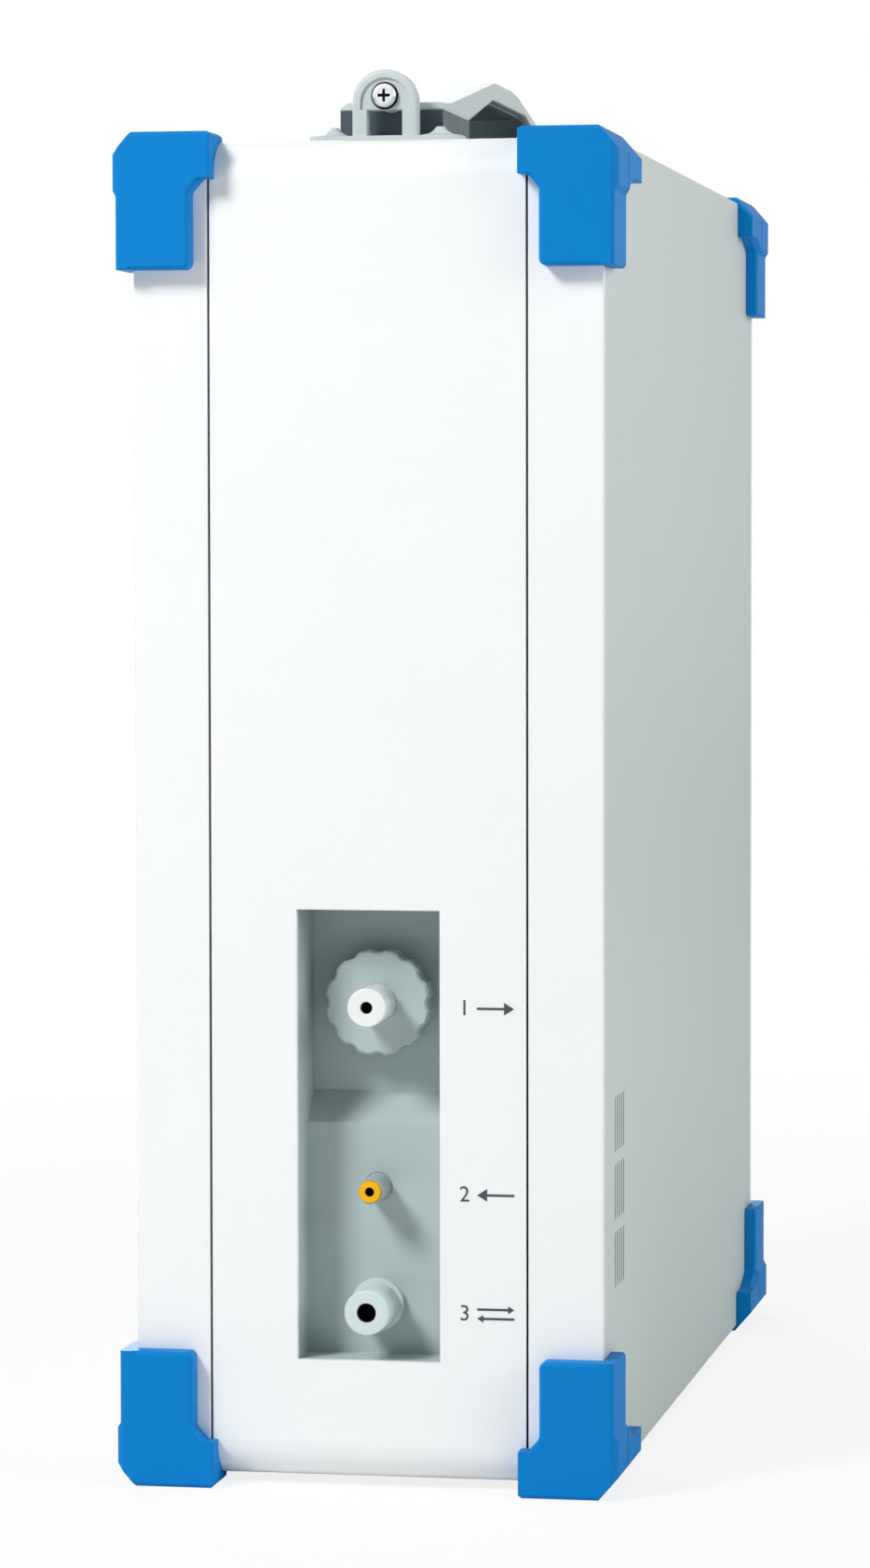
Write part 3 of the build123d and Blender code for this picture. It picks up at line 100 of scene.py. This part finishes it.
# the node tree of one material or world
class Recipe:
    def __init__(self, owner):
        self.owner = owner
        owner.use_nodes = True
        self.tree = owner.node_tree
        self.tree.nodes.clear()
        self.where = self.add("ShaderNodeTexCoord", out="Object")

    # settings first, then the sockets' values or links
    def add(self, kind, settings=None, values=None, out=0):
        node = self.tree.nodes.new(kind)
        for key, value in (settings or {}).items():
            setattr(node, key, value)
        for key, value in (values or {}).items():
            if isinstance(value, Signal):
                self.tree.links.new(value.socket, node.inputs[key])
            else:
                node.inputs[key].default_value = value
        return Signal(self, node.outputs[out] if len(node.outputs) else None)

    # size is the width of one grain in metres
    def noise(self, size, detail=2.0, stretch=None):
        where = self.where
        if stretch:
            where = self.vector("MULTIPLY", where, stretch)
        values = {"Vector": where, "Scale": 1 / size, "Detail": detail}
        return self.add("ShaderNodeTexNoise", None, values)

    def vector(self, operation, first, second=None, out=0):
        values = {0: first} if second is None else {0: first, 1: second}
        return self.add("ShaderNodeVectorMath", {"operation": operation}, values, out)

    # a soft step from low to high
    def spread(self, signal, low, high, toLow=0.0, toHigh=1.0):
        values = {"Value": signal, "From Min": low, "From Max": high}
        values.update({"To Min": toLow, "To Max": toHigh})
        return self.add("ShaderNodeMapRange", {"interpolation_type": "SMOOTHSTEP"}, values)

    def mix(self, share, first, second):
        return self.add("ShaderNodeMix", {"data_type": "RGBA"}, {0: share, 6: first, 7: second}, out=2)

    def rounded(self, radius):
        return self.add("ShaderNodeBevel", {"samples": 6}, {"Radius": radius})

    # 1 along the edges and 0 on the faces
    def edges(self, radius):
        soft = self.rounded(radius)
        sharp = self.add("ShaderNodeNewGeometry", out="Normal")
        match = self.vector("DOT_PRODUCT", soft, sharp, "Value")
        return self.spread(1 - match, 0.01, 0.2)

    # closes a material: the shader's values, and the relief with its softened edges
    def finish(self, values, height, strength, depth, rounding):
        soft = self.rounded(rounding)
        bump = {"Height": height, "Strength": strength, "Distance": depth, "Normal": soft}
        values = {**values, "Normal": self.add("ShaderNodeBump", None, bump)}
        shader = self.add("ShaderNodeBsdfPrincipled", None, values)
        self.add("ShaderNodeOutputMaterial", None, {"Surface": shader})
        return self.owner


# a colour from its screen values, 0 to 255
def shade(red, green, blue, share=1.0):
    def linear(value):
        value /= 255
        return value / 12.92 if value <= 0.04045 else ((value + 0.055) / 1.055) ** 2.4

    return tuple(min(1.0, linear(value) * share) for value in (red, green, blue)) + (1.0,)


def newRecipe(name):
    return Recipe(bpy.data.materials.new(name))


# sizes in metres, and where the noise turns into a patch
patches = {
    "cloud": (0.055, 0.35, 0.65),  # wide, faint mottling of a moulding
    "coatCloud": (0.09, 0.35, 0.65),
    "scuff": (0.006, 0.52, 0.7),
    "mark": (0.012, 0.5, 0.75),  # fingers and tarnish on metal
    "pit": (0.002, 0.62, 0.7),
}


def patch(recipe, kind, detail):
    size, low, high = patches[kind]
    return recipe.spread(recipe.noise(size, detail), low, high)


# moulded plastic: a fine grain, faint mottling, and edges shifted a little to an edge colour, partly
# rubbed wear and partly a painted highlight
def plastic(name, look):
    recipe = newRecipe(name)
    grain = recipe.noise(look["grain"], 3.0)
    cloud = patch(recipe, "cloud", 3.0)
    edgeWearSheen = recipe.edges(look["rounding"])
    scuff = patch(recipe, "scuff", 4.0)
    base = recipe.mix(cloud * look["mottle"], shade(*look["colour"]), shade(*look["colour"], 0.86))
    fleck = recipe.spread(grain, 0.5, 0.72) * look["fleck"]
    base = recipe.mix(fleck, base, shade(*look["colour"], 1.25))
    # painted highlight as well as wear: the edges turn lighter wherever the edge colour is lighter
    # than the base
    base = recipe.mix(edgeWearSheen * look["wear"] * (0.5 + 0.5 * scuff), base, shade(*look["worn"]))
    values = {
        "Base Color": base,
        "Roughness": look["rough"] + 0.10 * (grain - 0.5) + 0.05 * scuff,
        "Specular IOR Level": look["gloss"],
        "Coat Weight": look["coat"],
        "Coat Roughness": 0.12,
    }
    height = grain + 0.25 * recipe.noise(look["grain"] * 6, 2.0)
    return recipe.finish(values, height, look["strength"], look["depth"], look["rounding"])


# powder coated sheet: orange peel, a fine sparkle of the coat's own grains, and edges shifted to a
# lighter edge colour, partly wear and partly a painted highlight
def coatedSheet(name, look):
    recipe = newRecipe(name)
    peel = recipe.noise(look["peel"], 2.0)
    grain = recipe.noise(look["grain"], 2.0)
    cloud = patch(recipe, "coatCloud", 3.0)
    edgeWearSheen = recipe.edges(look["rounding"])
    base = recipe.mix(cloud * look["mottle"], shade(*look["colour"]), shade(*look["colour"], 0.9))
    base = recipe.mix(recipe.spread(grain, 0.55, 0.75) * 0.10, base, shade(*look["colour"], 1.3))
    # painted highlight as well as wear along the edges
    base = recipe.mix(edgeWearSheen * 0.35, base, shade(*look["worn"]))
    rough = look["rough"] + 0.12 * (grain - 0.5)
    values = {"Base Color": base, "Roughness": rough, "Specular IOR Level": 0.4}
    relief = peel + 0.4 * grain
    return recipe.finish(values, relief, look["strength"], look["depth"], look["rounding"])


# bare or plated metal: drawn lines along one direction, a few handling marks, and a lighter copy of
# the metal along the edges, partly wear and partly a painted highlight
def metal(name, look):
    recipe = newRecipe(name)
    lines = recipe.noise(look["line"], 3.0, look["stretch"])
    marks = patch(recipe, "mark", 5.0)
    edgeWearSheen = recipe.edges(look["rounding"])
    base = recipe.mix(lines, shade(*look["colour"], 0.86), shade(*look["colour"], 1.1))
    base = recipe.mix(marks * look["tarnish"], base, shade(*look["aged"]))
    # painted highlight as well as wear: a brighter copy of the metal on the edges
    base = recipe.mix(edgeWearSheen * 0.5, base, shade(*look["colour"], 1.25))
    rough = look["rough"] + 0.12 * (lines - 0.5) + 0.10 * marks
    values = {"Base Color": base, "Roughness": rough, "Metallic": 1.0}
    return recipe.finish(values, lines, look["strength"], look["depth"], look["rounding"])


# insulating board: packed fibres with pits; the pits are also darkened in colour as painted shade
def board(name, look):
    recipe = newRecipe(name)
    fibres = recipe.noise(look["fibre"], 4.0, look["stretch"])
    pits = patch(recipe, "pit", 2.0)
    base = recipe.mix(fibres, shade(*look["colour"], 0.8), shade(*look["colour"], 1.1))
    # painted shade in the pits
    base = recipe.mix(pits * 0.5, base, shade(*look["colour"], 0.55))
    values = {"Base Color": base, "Roughness": look["rough"] + 0.1 * (fibres - 0.5)}
    relief = fibres - 0.8 * pits
    return recipe.finish(values, relief, look["strength"], look["depth"], look["rounding"])


# circuit board: resist over a weave, with copper tracks showing through as lines
def circuit(name, look):
    recipe = newRecipe(name)
    weave = recipe.noise(look["weave"], 1.0)
    turned = {"Vector": recipe.where, "Rotation": (0, math.pi / 2, 0)}
    where = recipe.add("ShaderNodeMapping", None, turned)
    bricks = {"Vector": where, "Scale": look["tracks"], "Mortar Size": 0.03, "Mortar Smooth": 0.2}
    track = recipe.add("ShaderNodeTexBrick", None, bricks, "Fac")
    base = recipe.mix(weave * 0.3, shade(*look["colour"]), shade(*look["colour"], 0.7))
    base = recipe.mix(track * 0.5, base, shade(*look["track"]))
    values = {
        "Base Color": base,
        "Roughness": look["rough"] + 0.2 * weave,
        "Coat Weight": 0.3,
        "Coat Roughness": 0.1,
    }
    relief = track + 0.2 * weave
    return recipe.finish(values, relief, look["strength"], look["depth"], look["rounding"])


# the usual values of a plastic, and what differs from them
def moulded(colour, **changes):
    look = {
        "colour": colour,
        # the edge colour: lighter by default, a painted edge highlight as well as wear
        "worn": tuple(min(255, c + 30) for c in colour),
        "grain": 0.0006,
        "mottle": 0.12,
        "fleck": 0.05,
        "wear": 0.25,
        "rough": 0.42,
        "gloss": 0.45,
        "coat": 0.0,
        "strength": 0.15,
        "depth": 0.00006,
        "rounding": 0.0004,
    }
    return {**look, **changes}


# the same for a metal
def drawn(colour, **changes):
    look = {
        "colour": colour,
        "aged": tuple(int(c * 0.6) for c in colour),
        "line": 0.0008,
        "stretch": (1, 0.06, 1),
        "tarnish": 0.25,
        "rough": 0.3,
        "strength": 0.15,
        "depth": 0.00005,
        "rounding": 0.0003,
    }
    return {**look, **changes}


# the outside of the case
# edge colours: the white's is darker, from wear; the blue's is lighter, a painted highlight as well as
# wear
whiteWorn, blueEdgeWearSheen = (232, 234, 234), (30, 148, 218)
caseLooks = {
    "shell_white": moulded(
        (248, 250, 250), worn=whiteWorn, mottle=0.05, fleck=0.0, rough=0.36, grain=0.0009,
        strength=0.08, rounding=0.0006, wear=0.12,
    ),
    "guard_blue": moulded(
        (0, 129, 206), worn=blueEdgeWearSheen, grain=0.00055, mottle=0.08, fleck=0.06, rough=0.55,
        strength=0.4, depth=0.00009, rounding=0.0011, wear=0.2, gloss=0.12,
    ),
    "bay_grey": moulded((186, 201, 201), grain=0.0005, rough=0.55, rounding=0.0006, gloss=0.15),
}
sheetLook = {
    "colour": (203, 214, 212),
    "worn": (225, 230, 230),
    "peel": 0.0018,
    "grain": 0.0004,
    "mottle": 0.12,
    "rough": 0.46,
    "strength": 0.12,
    "depth": 0.00008,
    "rounding": 0.0005,
}
# fittings in the bay
portLooks = {
    "port_white": moulded(
        (244, 246, 246), worn=(225, 228, 228), rough=0.25, strength=0.05, coat=0.2,
    ),
    "port_pale": moulded(
        (214, 228, 228), worn=(232, 238, 238), rough=0.35, strength=0.05, gloss=0.3,
    ),
    "port_grey": moulded((176, 188, 190), rough=0.35),
    "knob_grey": moulded(
        (184, 200, 200), worn=(214, 224, 224), rough=0.45, rounding=0.0003, gloss=0.25,
    ),
    "ring_yellow": moulded((250, 188, 6), worn=(255, 208, 60), rough=0.35, gloss=0.2),
}
handleLooks = {
    "handle_light": moulded(
        (204, 214, 214), worn=(225, 231, 231), rough=0.42, rounding=0.0009, grain=0.0005,
    ),
    "handle_dark": moulded(
        (68, 83, 91), worn=(104, 118, 125), rough=0.5, rounding=0.0007, grain=0.0005,
    ),
}
insidePlastics = {
    "inlet_black": moulded((22, 22, 23), rough=0.4),
    "rocker_black": moulded((16, 16, 17), rough=0.22, coat=0.3),
    "drive_black": moulded((36, 37, 39), rough=0.5),
    "pump_black": moulded((44, 46, 48), rough=0.45),
    "chip_black": moulded((24, 24, 26), rough=0.5),
    "fan_black": moulded((26, 26, 28), rough=0.42),
    "fan_blade": moulded((32, 32, 34), rough=0.38),
}
# what the pieces of this script are made of
smallLooks = {
    # near-black, for the pieces that stand in for shade: vent slots, bores, seams and screw heads
    "paintedShade": moulded((12, 15, 16), worn=(30, 34, 36), rough=0.8, strength=0.3, gloss=0.1),
    "print": moulded((62, 76, 80), rough=0.5, grain=0.0003, rounding=0.00003),
    "paleInk": moulded((235, 235, 232), rough=0.5, grain=0.0003, rounding=0.00003),
}
evenGrain = (1, 1, 1)
metals = {
    "screw_steel": drawn((236, 238, 238), rough=0.22, line=0.0004, stretch=evenGrain),
    "nut_metal": drawn((225, 226, 226), rough=0.16),
    "prong_metal": drawn((214, 210, 196), rough=0.25),
    "chassis_metal": drawn((198, 201, 204), rough=0.38, line=0.0006, stretch=(1, 0.04, 1)),
    "column_steel": drawn((176, 176, 178), rough=0.28, stretch=evenGrain),
    "heater_sheath": drawn((112, 96, 88), rough=0.5, tarnish=0.6, stretch=evenGrain),
    "impeller_metal": drawn((192, 194, 196), rough=0.34, stretch=(1, 0.2, 0.2)),
    "motor_can": drawn((140, 142, 144), rough=0.42, stretch=(0.06, 1, 1)),
    "valve_metal": drawn((196, 196, 199), rough=0.2, stretch=evenGrain),
    "rotor_metal": drawn((170, 172, 176), rough=0.24, stretch=evenGrain),
    "detector_metal": drawn((178, 182, 186), rough=0.36, stretch=(0.06, 1, 1)),
    "regulator_brass": drawn((204, 168, 92), rough=0.25, tarnish=0.4),
    "clamp_metal": drawn((172, 176, 180), rough=0.4),
    "supply_metal": drawn((190, 192, 194), rough=0.36, stretch=(1, 0.05, 1)),
    "line_metal": drawn((188, 188, 190), rough=0.22, stretch=evenGrain),
}
bottleLook = {
    "colour": (92, 130, 108),
    "worn": (150, 176, 160),
    "peel": 0.0026,
    "grain": 0.0008,
    "mottle": 0.3,
    "rough": 0.34,
    "strength": 0.2,
    "depth": 0.00012,
    "rounding": 0.0006,
}
boardLook = {
    "fibre": 0.0012,
    "stretch": (1, 1, 0.25),
    "rough": 0.85,
    "strength": 0.5,
    "depth": 0.0004,
    "rounding": 0.0006,
}
circuitLook = {
    "colour": (24, 92, 52),
    "track": (66, 140, 84),
    "weave": 0.0006,
    "tracks": 220.0,  # to the metre
    "rough": 0.35,
    "strength": 0.3,
    "depth": 0.00008,
    "rounding": 0.0003,
}


def makeFinishes():
    made = {}
    for looks in (caseLooks, portLooks, handleLooks, insidePlastics, smallLooks):
        made.update({name: plastic(name, look) for name, look in looks.items()})
    made.update({name: metal(name, look) for name, look in metals.items()})
    for name, look in (("sheet_grey", sheetLook), ("bottle_metal", bottleLook)):
        made[name] = coatedSheet(name, look)
    for name, colour in (("oven_shell", (200, 194, 178)), ("oven_lid", (206, 200, 186))):
        made[name] = board(name, {**boardLook, "colour": colour})
    made["board_green"] = circuit("board_green", circuitLook)
    return made


finishes = makeFinishes()
nodeFinishes = {"gas_cycle_tube": "port_pale"}  # where a node's finish isn't its slot's own
for part in frame["record"]["subparts"]:
    obj = nodes[part["node"]]
    obj.data.materials.clear()
    obj.data.materials.append(finishes[nodeFinishes.get(part["node"], part["material_slot"])])
print("finishes on", len(nodes), "nodes")

plainWhite = (1, 1, 1, 1)
studio = {
    "floorSize": 14.0,
    "floorDrop": 0.0002,
    "floorColour": (0.93, 0.93, 0.93, 1.0),
    "floorStain": (0.86, 0.86, 0.86, 1.0),
    "glowNear": 0.84,  # share of plain white in the floor that the camera sees, by the object
    "glowFar": 1.6,  # metres from the object to where the floor is plain white
    "worldColour": (0.96, 0.98, 0.98, 1.0),
    "worldStrength": 0.1,
}
lamps = [
    # name, place, aimed at, width, watts
    ("keyLamp", (-1.15, -1.6, 1.75), (0.0, -0.22, 0.22), 0.7, 43),
    ("sideLamp", (2.3, -0.7, 1.15), (0.085, 0.0, 0.25), 1.5, 29),
    ("topLamp", (0.1, 0.5, 2.3), (0.0, 0.0, 0.5), 1.6, 2),
    ("rearLamp", (-0.9, 2.4, 0.8), (0.0, 0.2, 0.25), 1.2, 40),
]


def makeFloor():
    half = studio["floorSize"] / 2
    mesh = bpy.data.meshes.new("floor")
    corners = [(-half, -half, 0), (half, -half, 0), (half, half, 0), (-half, half, 0)]
    mesh.from_pydata(corners, [], [(0, 1, 2, 3)])
    floor = bpy.data.objects.new("floor", mesh)
    floor.location.z = -studio["floorDrop"]
    bpy.context.scene.collection.objects.link(floor)
    recipe = newRecipe("floorPaint")
    tone = recipe.mix(recipe.noise(0.4, 3.0) * 0.06, studio["floorColour"], studio["floorStain"])
    matt = recipe.add("ShaderNodeBsdfDiffuse", None, {"Color": tone})
    glow = recipe.add("ShaderNodeEmission", None, {"Color": plainWhite, "Strength": 1.0})
    seen = recipe.add("ShaderNodeLightPath", out="Is Camera Ray")
    away = recipe.vector("LENGTH", recipe.where, out="Value")
    share = recipe.spread(away, 0.5, studio["glowFar"], studio["glowNear"], 1.0)
    both = recipe.add("ShaderNodeMixShader", None, {0: seen * share, 1: matt, 2: glow})
    recipe.add("ShaderNodeOutputMaterial", None, {"Surface": both})
    mesh.materials.append(recipe.owner)


# white where the camera or a glossy surface looks past the object, and a dim fill light
def makeWorld():
    world = bpy.data.worlds.new("studioWorld")
    bpy.context.scene.world = world
    recipe = Recipe(world)
    seen = recipe.add("ShaderNodeLightPath", out="Is Camera Ray")
    glossy = recipe.add("ShaderNodeLightPath", out="Is Glossy Ray")
    fill = {"Color": studio["worldColour"], "Strength": studio["worldStrength"]}
    plain = recipe.add("ShaderNodeBackground", None, fill)
    white = recipe.add("ShaderNodeBackground", None, {"Color": plainWhite, "Strength": 1.0})
    share = seen.combine("MAXIMUM", seen, glossy)
    mixed = recipe.add("ShaderNodeMixShader", None, {0: share, 1: plain, 2: white})
    recipe.add("ShaderNodeOutputWorld", None, {"Surface": mixed})


def makeLamps():
    for name, place, aim, size, watts in lamps:
        data = bpy.data.lights.new(name, "AREA")
        data.shape = "DISK"
        data.size, data.energy = size, watts
        lamp = bpy.data.objects.new(name, data)
        lamp.location = place
        facing = (Vector(aim) - Vector(place)).to_track_quat("-Z", "Y")
        lamp.rotation_euler = facing.to_euler()
        bpy.context.scene.collection.objects.link(lamp)


makeFloor()
makeWorld()
makeLamps()
bpy.context.scene.view_settings.view_transform = "Standard"
print("studio ready")


# a solid piece from its bmesh, on one body, with its finish
def addPiece(name, shape, finish, body="case"):
    mesh = bpy.data.meshes.new(name)
    bmesh.ops.recalc_face_normals(shape, faces=shape.faces)
    shape.to_mesh(mesh)
    shape.free()
    mesh.materials.append(finishes[finish])
    piece = bpy.data.objects.new(name, mesh)
    bpy.context.scene.collection.objects.link(piece)
    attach(piece, body)


def circle(radius, steps, start=0, sweep=360, closed=True):
    count = steps if closed else steps + 1
    angles = [math.radians(start + sweep * i / steps) for i in range(count)]
    return [(radius * math.cos(a), radius * math.sin(a)) for a in angles]


def loopOf(shape, outline, place, rise=0):
    return [shape.verts.new(place @ Vector((x, y, rise))) for x, y in outline]


# raises a flat outline, drawn as (across, up), into a slab of that thickness
def slab(shape, outline, thickness, place):
    face = shape.faces.new(loopOf(shape, outline, place))
    raised = bmesh.ops.extrude_face_region(shape, geom=[face])["geom"]
    up = (place.to_3x3() @ Vector((0, 0, 1))) * thickness
    corners = [v for v in raised if isinstance(v, bmesh.types.BMVert)]
    bmesh.ops.translate(shape, verts=corners, vec=up)


def ring(shape, inner, outer, thickness, place, steps):
    corners = ((inner, 0), (outer, 0), (outer, thickness), (inner, thickness))
    loops = [loopOf(shape, circle(radius, steps), place, rise) for radius, rise in corners]
    for first, second in zip(loops, loops[1:] + loops[:1]):
        for i in range(steps):
            j = (i + 1) % steps
            shape.faces.new((first[i], first[j], second[j], second[i]))


# where a line from outside meets a CAD node, as a matrix whose Z leaves the surface
def seat(node, start, heading):
    _, point, normal, _ = nodes[node].ray_cast(Vector(start), Vector(heading))
    across = Vector((0, 0, 1)).cross(normal).normalized()
    rise = normal.cross(across)
    turn = Matrix((across, rise, normal)).transposed().to_4x4()
    return Matrix.Translation(point) @ turn


def turned(degrees, axis):
    return Matrix.Rotation(math.radians(degrees), 4, axis)


panelLow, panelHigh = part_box("front_panel")
frontY, rearY = panelLow.y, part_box("rear_panel")[1].y
toFront, toRear = turned(90, "X"), turned(-90, "X")  # a slab's Z, turned out of each end
toRight = turned(90, "Z") @ toFront
toLeft = turned(180, "Z") @ toRight

vents = {
    "slot": (1.56 * mm, 20.2 * mm),
    "back": 30 * mm,  # first slot, from the front
    "low": 68 * mm,  # foot of the lowest row, from the foot of the case
    "pitch": (5.2 * mm, 24.6 * mm),
    "count": (5, 3),
    "below": 0.05 * mm,
    "thickness": 0.5 * mm,
    "steps": 8,
}


# a near-black sheet just under the slots of both side sheets: painted shade in the vents
def makeVentCloth():
    wide, tall = (v / 2 for v in vents["slot"])
    outline = []
    for centre, start in ((tall - wide, 0), (wide - tall, 180)):
        arc = circle(wide, vents["steps"], start, 180, closed=False)
        outline += [(x, centre + y) for x, y in arc]
    sides = (
        ("rightVentShade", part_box("side_panel_right")[1].x, 1, toRight),
        ("leftVentShade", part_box("side_panel_left")[0].x, -1, toLeft),
    )
    for name, outside, side, facing in sides:
        x = outside - side * (vents["below"] + vents["thickness"])
        shape = bmesh.new()
        for column in range(vents["count"][0]):
            for row in range(vents["count"][1]):
                y = frontY + vents["back"] + column * vents["pitch"][0]
                z = panelLow.z + vents["low"] + tall + row * vents["pitch"][1]
                place = Matrix.Translation((x, y, z)) @ facing
                slab(shape, outline, vents["thickness"], place)
        addPiece(name, shape, "paintedShade")


bores = [
    # node, its body, radius of its bore, depth of its sleeve of painted shade
    ("sample_out_tube", "case", 2.2 * mm, 8 * mm),
    ("sample_in_ring", "release_ring", 1.7 * mm, 5 * mm),
    ("gas_cycle_tube", "case", 3.5 * mm, 8 * mm),
]
boreShade = {"start": 0.8 * mm, "wall": 0.3 * mm, "play": 0.03 * mm, "steps": 48}


# a near-black sleeve and end disc inside each port: painted shade in the bore
def makeBoreLinings():
    for node, body, radius, depth in bores:
        low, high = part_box(node)
        middle = (low + high) / 2
        foot = Matrix.Translation((middle.x, low.y + depth, middle.z)) @ toFront
        outer = radius - boreShade["play"]
        wall, steps = boreShade["wall"], boreShade["steps"]
        shape = bmesh.new()
        ring(shape, outer - wall, outer, depth - boreShade["start"], foot, steps)
        slab(shape, circle(outer - 1.2 * wall, steps), wall, foot)
        addPiece("boreShade_" + node, shape, "paintedShade", body)


paintedShade = {
    "gap": 0.8 * mm,  # the open line beside a centre panel
    "play": 0.04 * mm,
    "below": 0.8 * mm,  # from the panel's face to the shade strip
    "depth": 1.6 * mm,
    "bend": 14 * mm,  # rounding of the case's ends
    "steps": 16,
}


# the line of a seam's shade strip as (y, z), over the top bend, down the end and round the bottom bend
def gasketLine(endY, depth):
    inwards = 1 if endY < 0 else -1
    bend, steps = paintedShade["bend"], paintedShade["steps"]
    points = []
    for middle, start in ((panelHigh.z - bend, 90), (panelLow.z + bend, 180)):
        arc = circle(bend - depth, steps, start, 90, closed=False)
        points += [(endY + inwards * (bend + across), middle + up) for across, up in arc]
    return points


# a near-black strip at the bottom of each open line: painted shade in the seam
def makeGasket(name, endY):
    shape = bmesh.new()
    near = paintedShade["below"]
    far = near + paintedShade["depth"]
    for side in (-1, 1):
        inner = side * (panelHigh.x + paintedShade["play"])
        outer = side * (panelHigh.x + paintedShade["gap"] - paintedShade["play"])
        section = ((inner, near), (outer, near), (outer, far), (inner, far))
        loops = []
        for x, depth in section:
            line = gasketLine(endY, depth)
            loops.append([shape.verts.new((x, y, z)) for y, z in line])
        for first, second in zip(loops, loops[1:] + loops[:1]):
            for i in range(len(first) - 1):
                shape.faces.new((first[i], first[i + 1], second[i + 1], second[i]))
        for i in (0, -1):
            shape.faces.new([loop[i] for loop in loops])
    addPiece(name, shape, "paintedShade")


marks = {
    "left": 33 * mm,  # where the numbers start, from the middle
    "number": 5.6 * mm,  # height of a number
    "capital": 0.7,  # height of a number as a share of the font's size
    "arrow": (39.5 * mm, 53 * mm),
    "shaft": 0.9 * mm,
    "head": 4.6 * mm,
    "slender": 0.8,  # length of a head as a share of its width
    "pair": (0.36, 0.62),  # offset and size of the two arrows in a pair
    "thickness": 0.06 * mm,
}


def arrow(start, end, rise, head):
    turn = 1 if end > start else -1
    neck = end - turn * head * marks["slender"]
    half = marks["shaft"] / 2
    return [
        (start, rise - half), (neck, rise - half), (neck, rise - head / 2), (end, rise),
        (neck, rise + head / 2), (neck, rise + half), (start, rise + half),
    ]


def addNumber(shape, number, place):
    thick = marks["thickness"]
    text = bpy.data.curves.new("number", "FONT")
    text.body = str(number)
    text.size, text.extrude = marks["number"] / marks["capital"], thick / 2
    text.align_x, text.align_y = "LEFT", "CENTER"
    holder = bpy.data.objects.new("number", text)
    flat = bpy.data.meshes.new_from_object(holder)
    flat.transform(place @ Matrix.Translation((0, 0, thick / 2)))
    shape.from_mesh(flat)
    bpy.data.objects.remove(holder)


# plain numbers and arrows printed beside the ports: out, in, and round
def makePortMarks():
    left, head = marks["left"], marks["head"]
    start, end = (v - left for v in marks["arrow"])
    offset, size = (v * head for v in marks["pair"])
    arrows = {
        "sample_out_tube": [(start, end, 0, head)],
        "sample_in_body": [(end, start, 0, head)],
        "gas_cycle_tube": [(start, end, offset, size), (end, start, -offset, size)],
    }
    for number, (port, strokes) in enumerate(arrows.items(), 1):
        low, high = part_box(port)
        outside = (left, frontY - 50 * mm, (low.z + high.z) / 2)
        place = seat("front_panel", outside, (0, 1, 0))
        shape = bmesh.new()
        for stroke in strokes:
            slab(shape, arrow(*stroke), marks["thickness"], place)
        addNumber(shape, number, place)
        addPiece("portMark" + str(number), shape, "print")


handleScrew = {
    "ring": (4.45 * mm, 4.95 * mm, 0.5 * mm),  # inner, outer, thickness
    "ringSteps": 64,
    "head": 2.4 * mm,
    "cross": (4.5 * mm, 1.05 * mm),
    "crossDown": 0.35 * mm,
    "crossDeep": 0.8 * mm,
}


# near-black rings round the foot of the handle's screw heads, and a near-black insert at the bottom of
# each cross recess: painted shade in the gaps and recesses
def makeScrewDetails():
    low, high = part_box("grip_screws")
    level = (low.z + high.z) / 2
    bottom = handleScrew["crossDown"] + handleScrew["crossDeep"]
    long, wide = (v / 2 for v in handleScrew["cross"])
    cross = [
        (-long, -wide), (-wide, -wide), (-wide, -long), (wide, -long), (wide, -wide),
        (long, -wide), (long, wide), (wide, wide), (wide, long), (-wide, long),
        (-wide, wide), (-long, wide),
    ]
    rings, crosses = bmesh.new(), bmesh.new()
    for headY, out, facing in ((low.y, -1, toFront), (high.y, 1, toRear)):
        foot = Matrix.Translation((0, headY - out * handleScrew["head"], level)) @ facing
        ring(rings, *handleScrew["ring"], foot, handleScrew["ringSteps"])
        deep = Matrix.Translation((0, headY - out * bottom, level)) @ facing
        slab(crosses, cross, handleScrew["crossDeep"], deep)
    addPiece("screwShadeRings", rings, "paintedShade")
    addPiece("screwShadeCrosses", crosses, "paintedShade")


rockerMarks = {
    "rise": 6.0 * mm,  # of each sign from the middle
    "bar": (0.9 * mm, 4.4 * mm),
    "ring": (1.6 * mm, 2.4 * mm),
    "thickness": 0.06 * mm,
    "steps": 40,
}


# the bar and the ring on the power rocker
def makeRockerMarks():
    low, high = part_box("switch_rocker")
    middle, thick = (low.z + high.z) / 2, rockerMarks["thickness"]
    above, below = (
        seat("switch_rocker", (0, high.y + 20 * mm, middle + rise), (0, -1, 0))
        for rise in (rockerMarks["rise"], -rockerMarks["rise"])
    )
    wide, tall = (v / 2 for v in rockerMarks["bar"])
    shape = bmesh.new()
    slab(shape, [(-wide, -tall), (wide, -tall), (wide, tall), (-wide, tall)], thick, above)
    ring(shape, *rockerMarks["ring"], thick, below, rockerMarks["steps"])
    addPiece("rockerMarks", shape, "paleInk", "power_rocker")


makeVentCloth()
makeBoreLinings()
makeGasket("frontSeamShade", frontY)
makeGasket("rearSeamShade", rearY)
makePortMarks()
makeScrewDetails()
makeRockerMarks()
print("pieces ready")
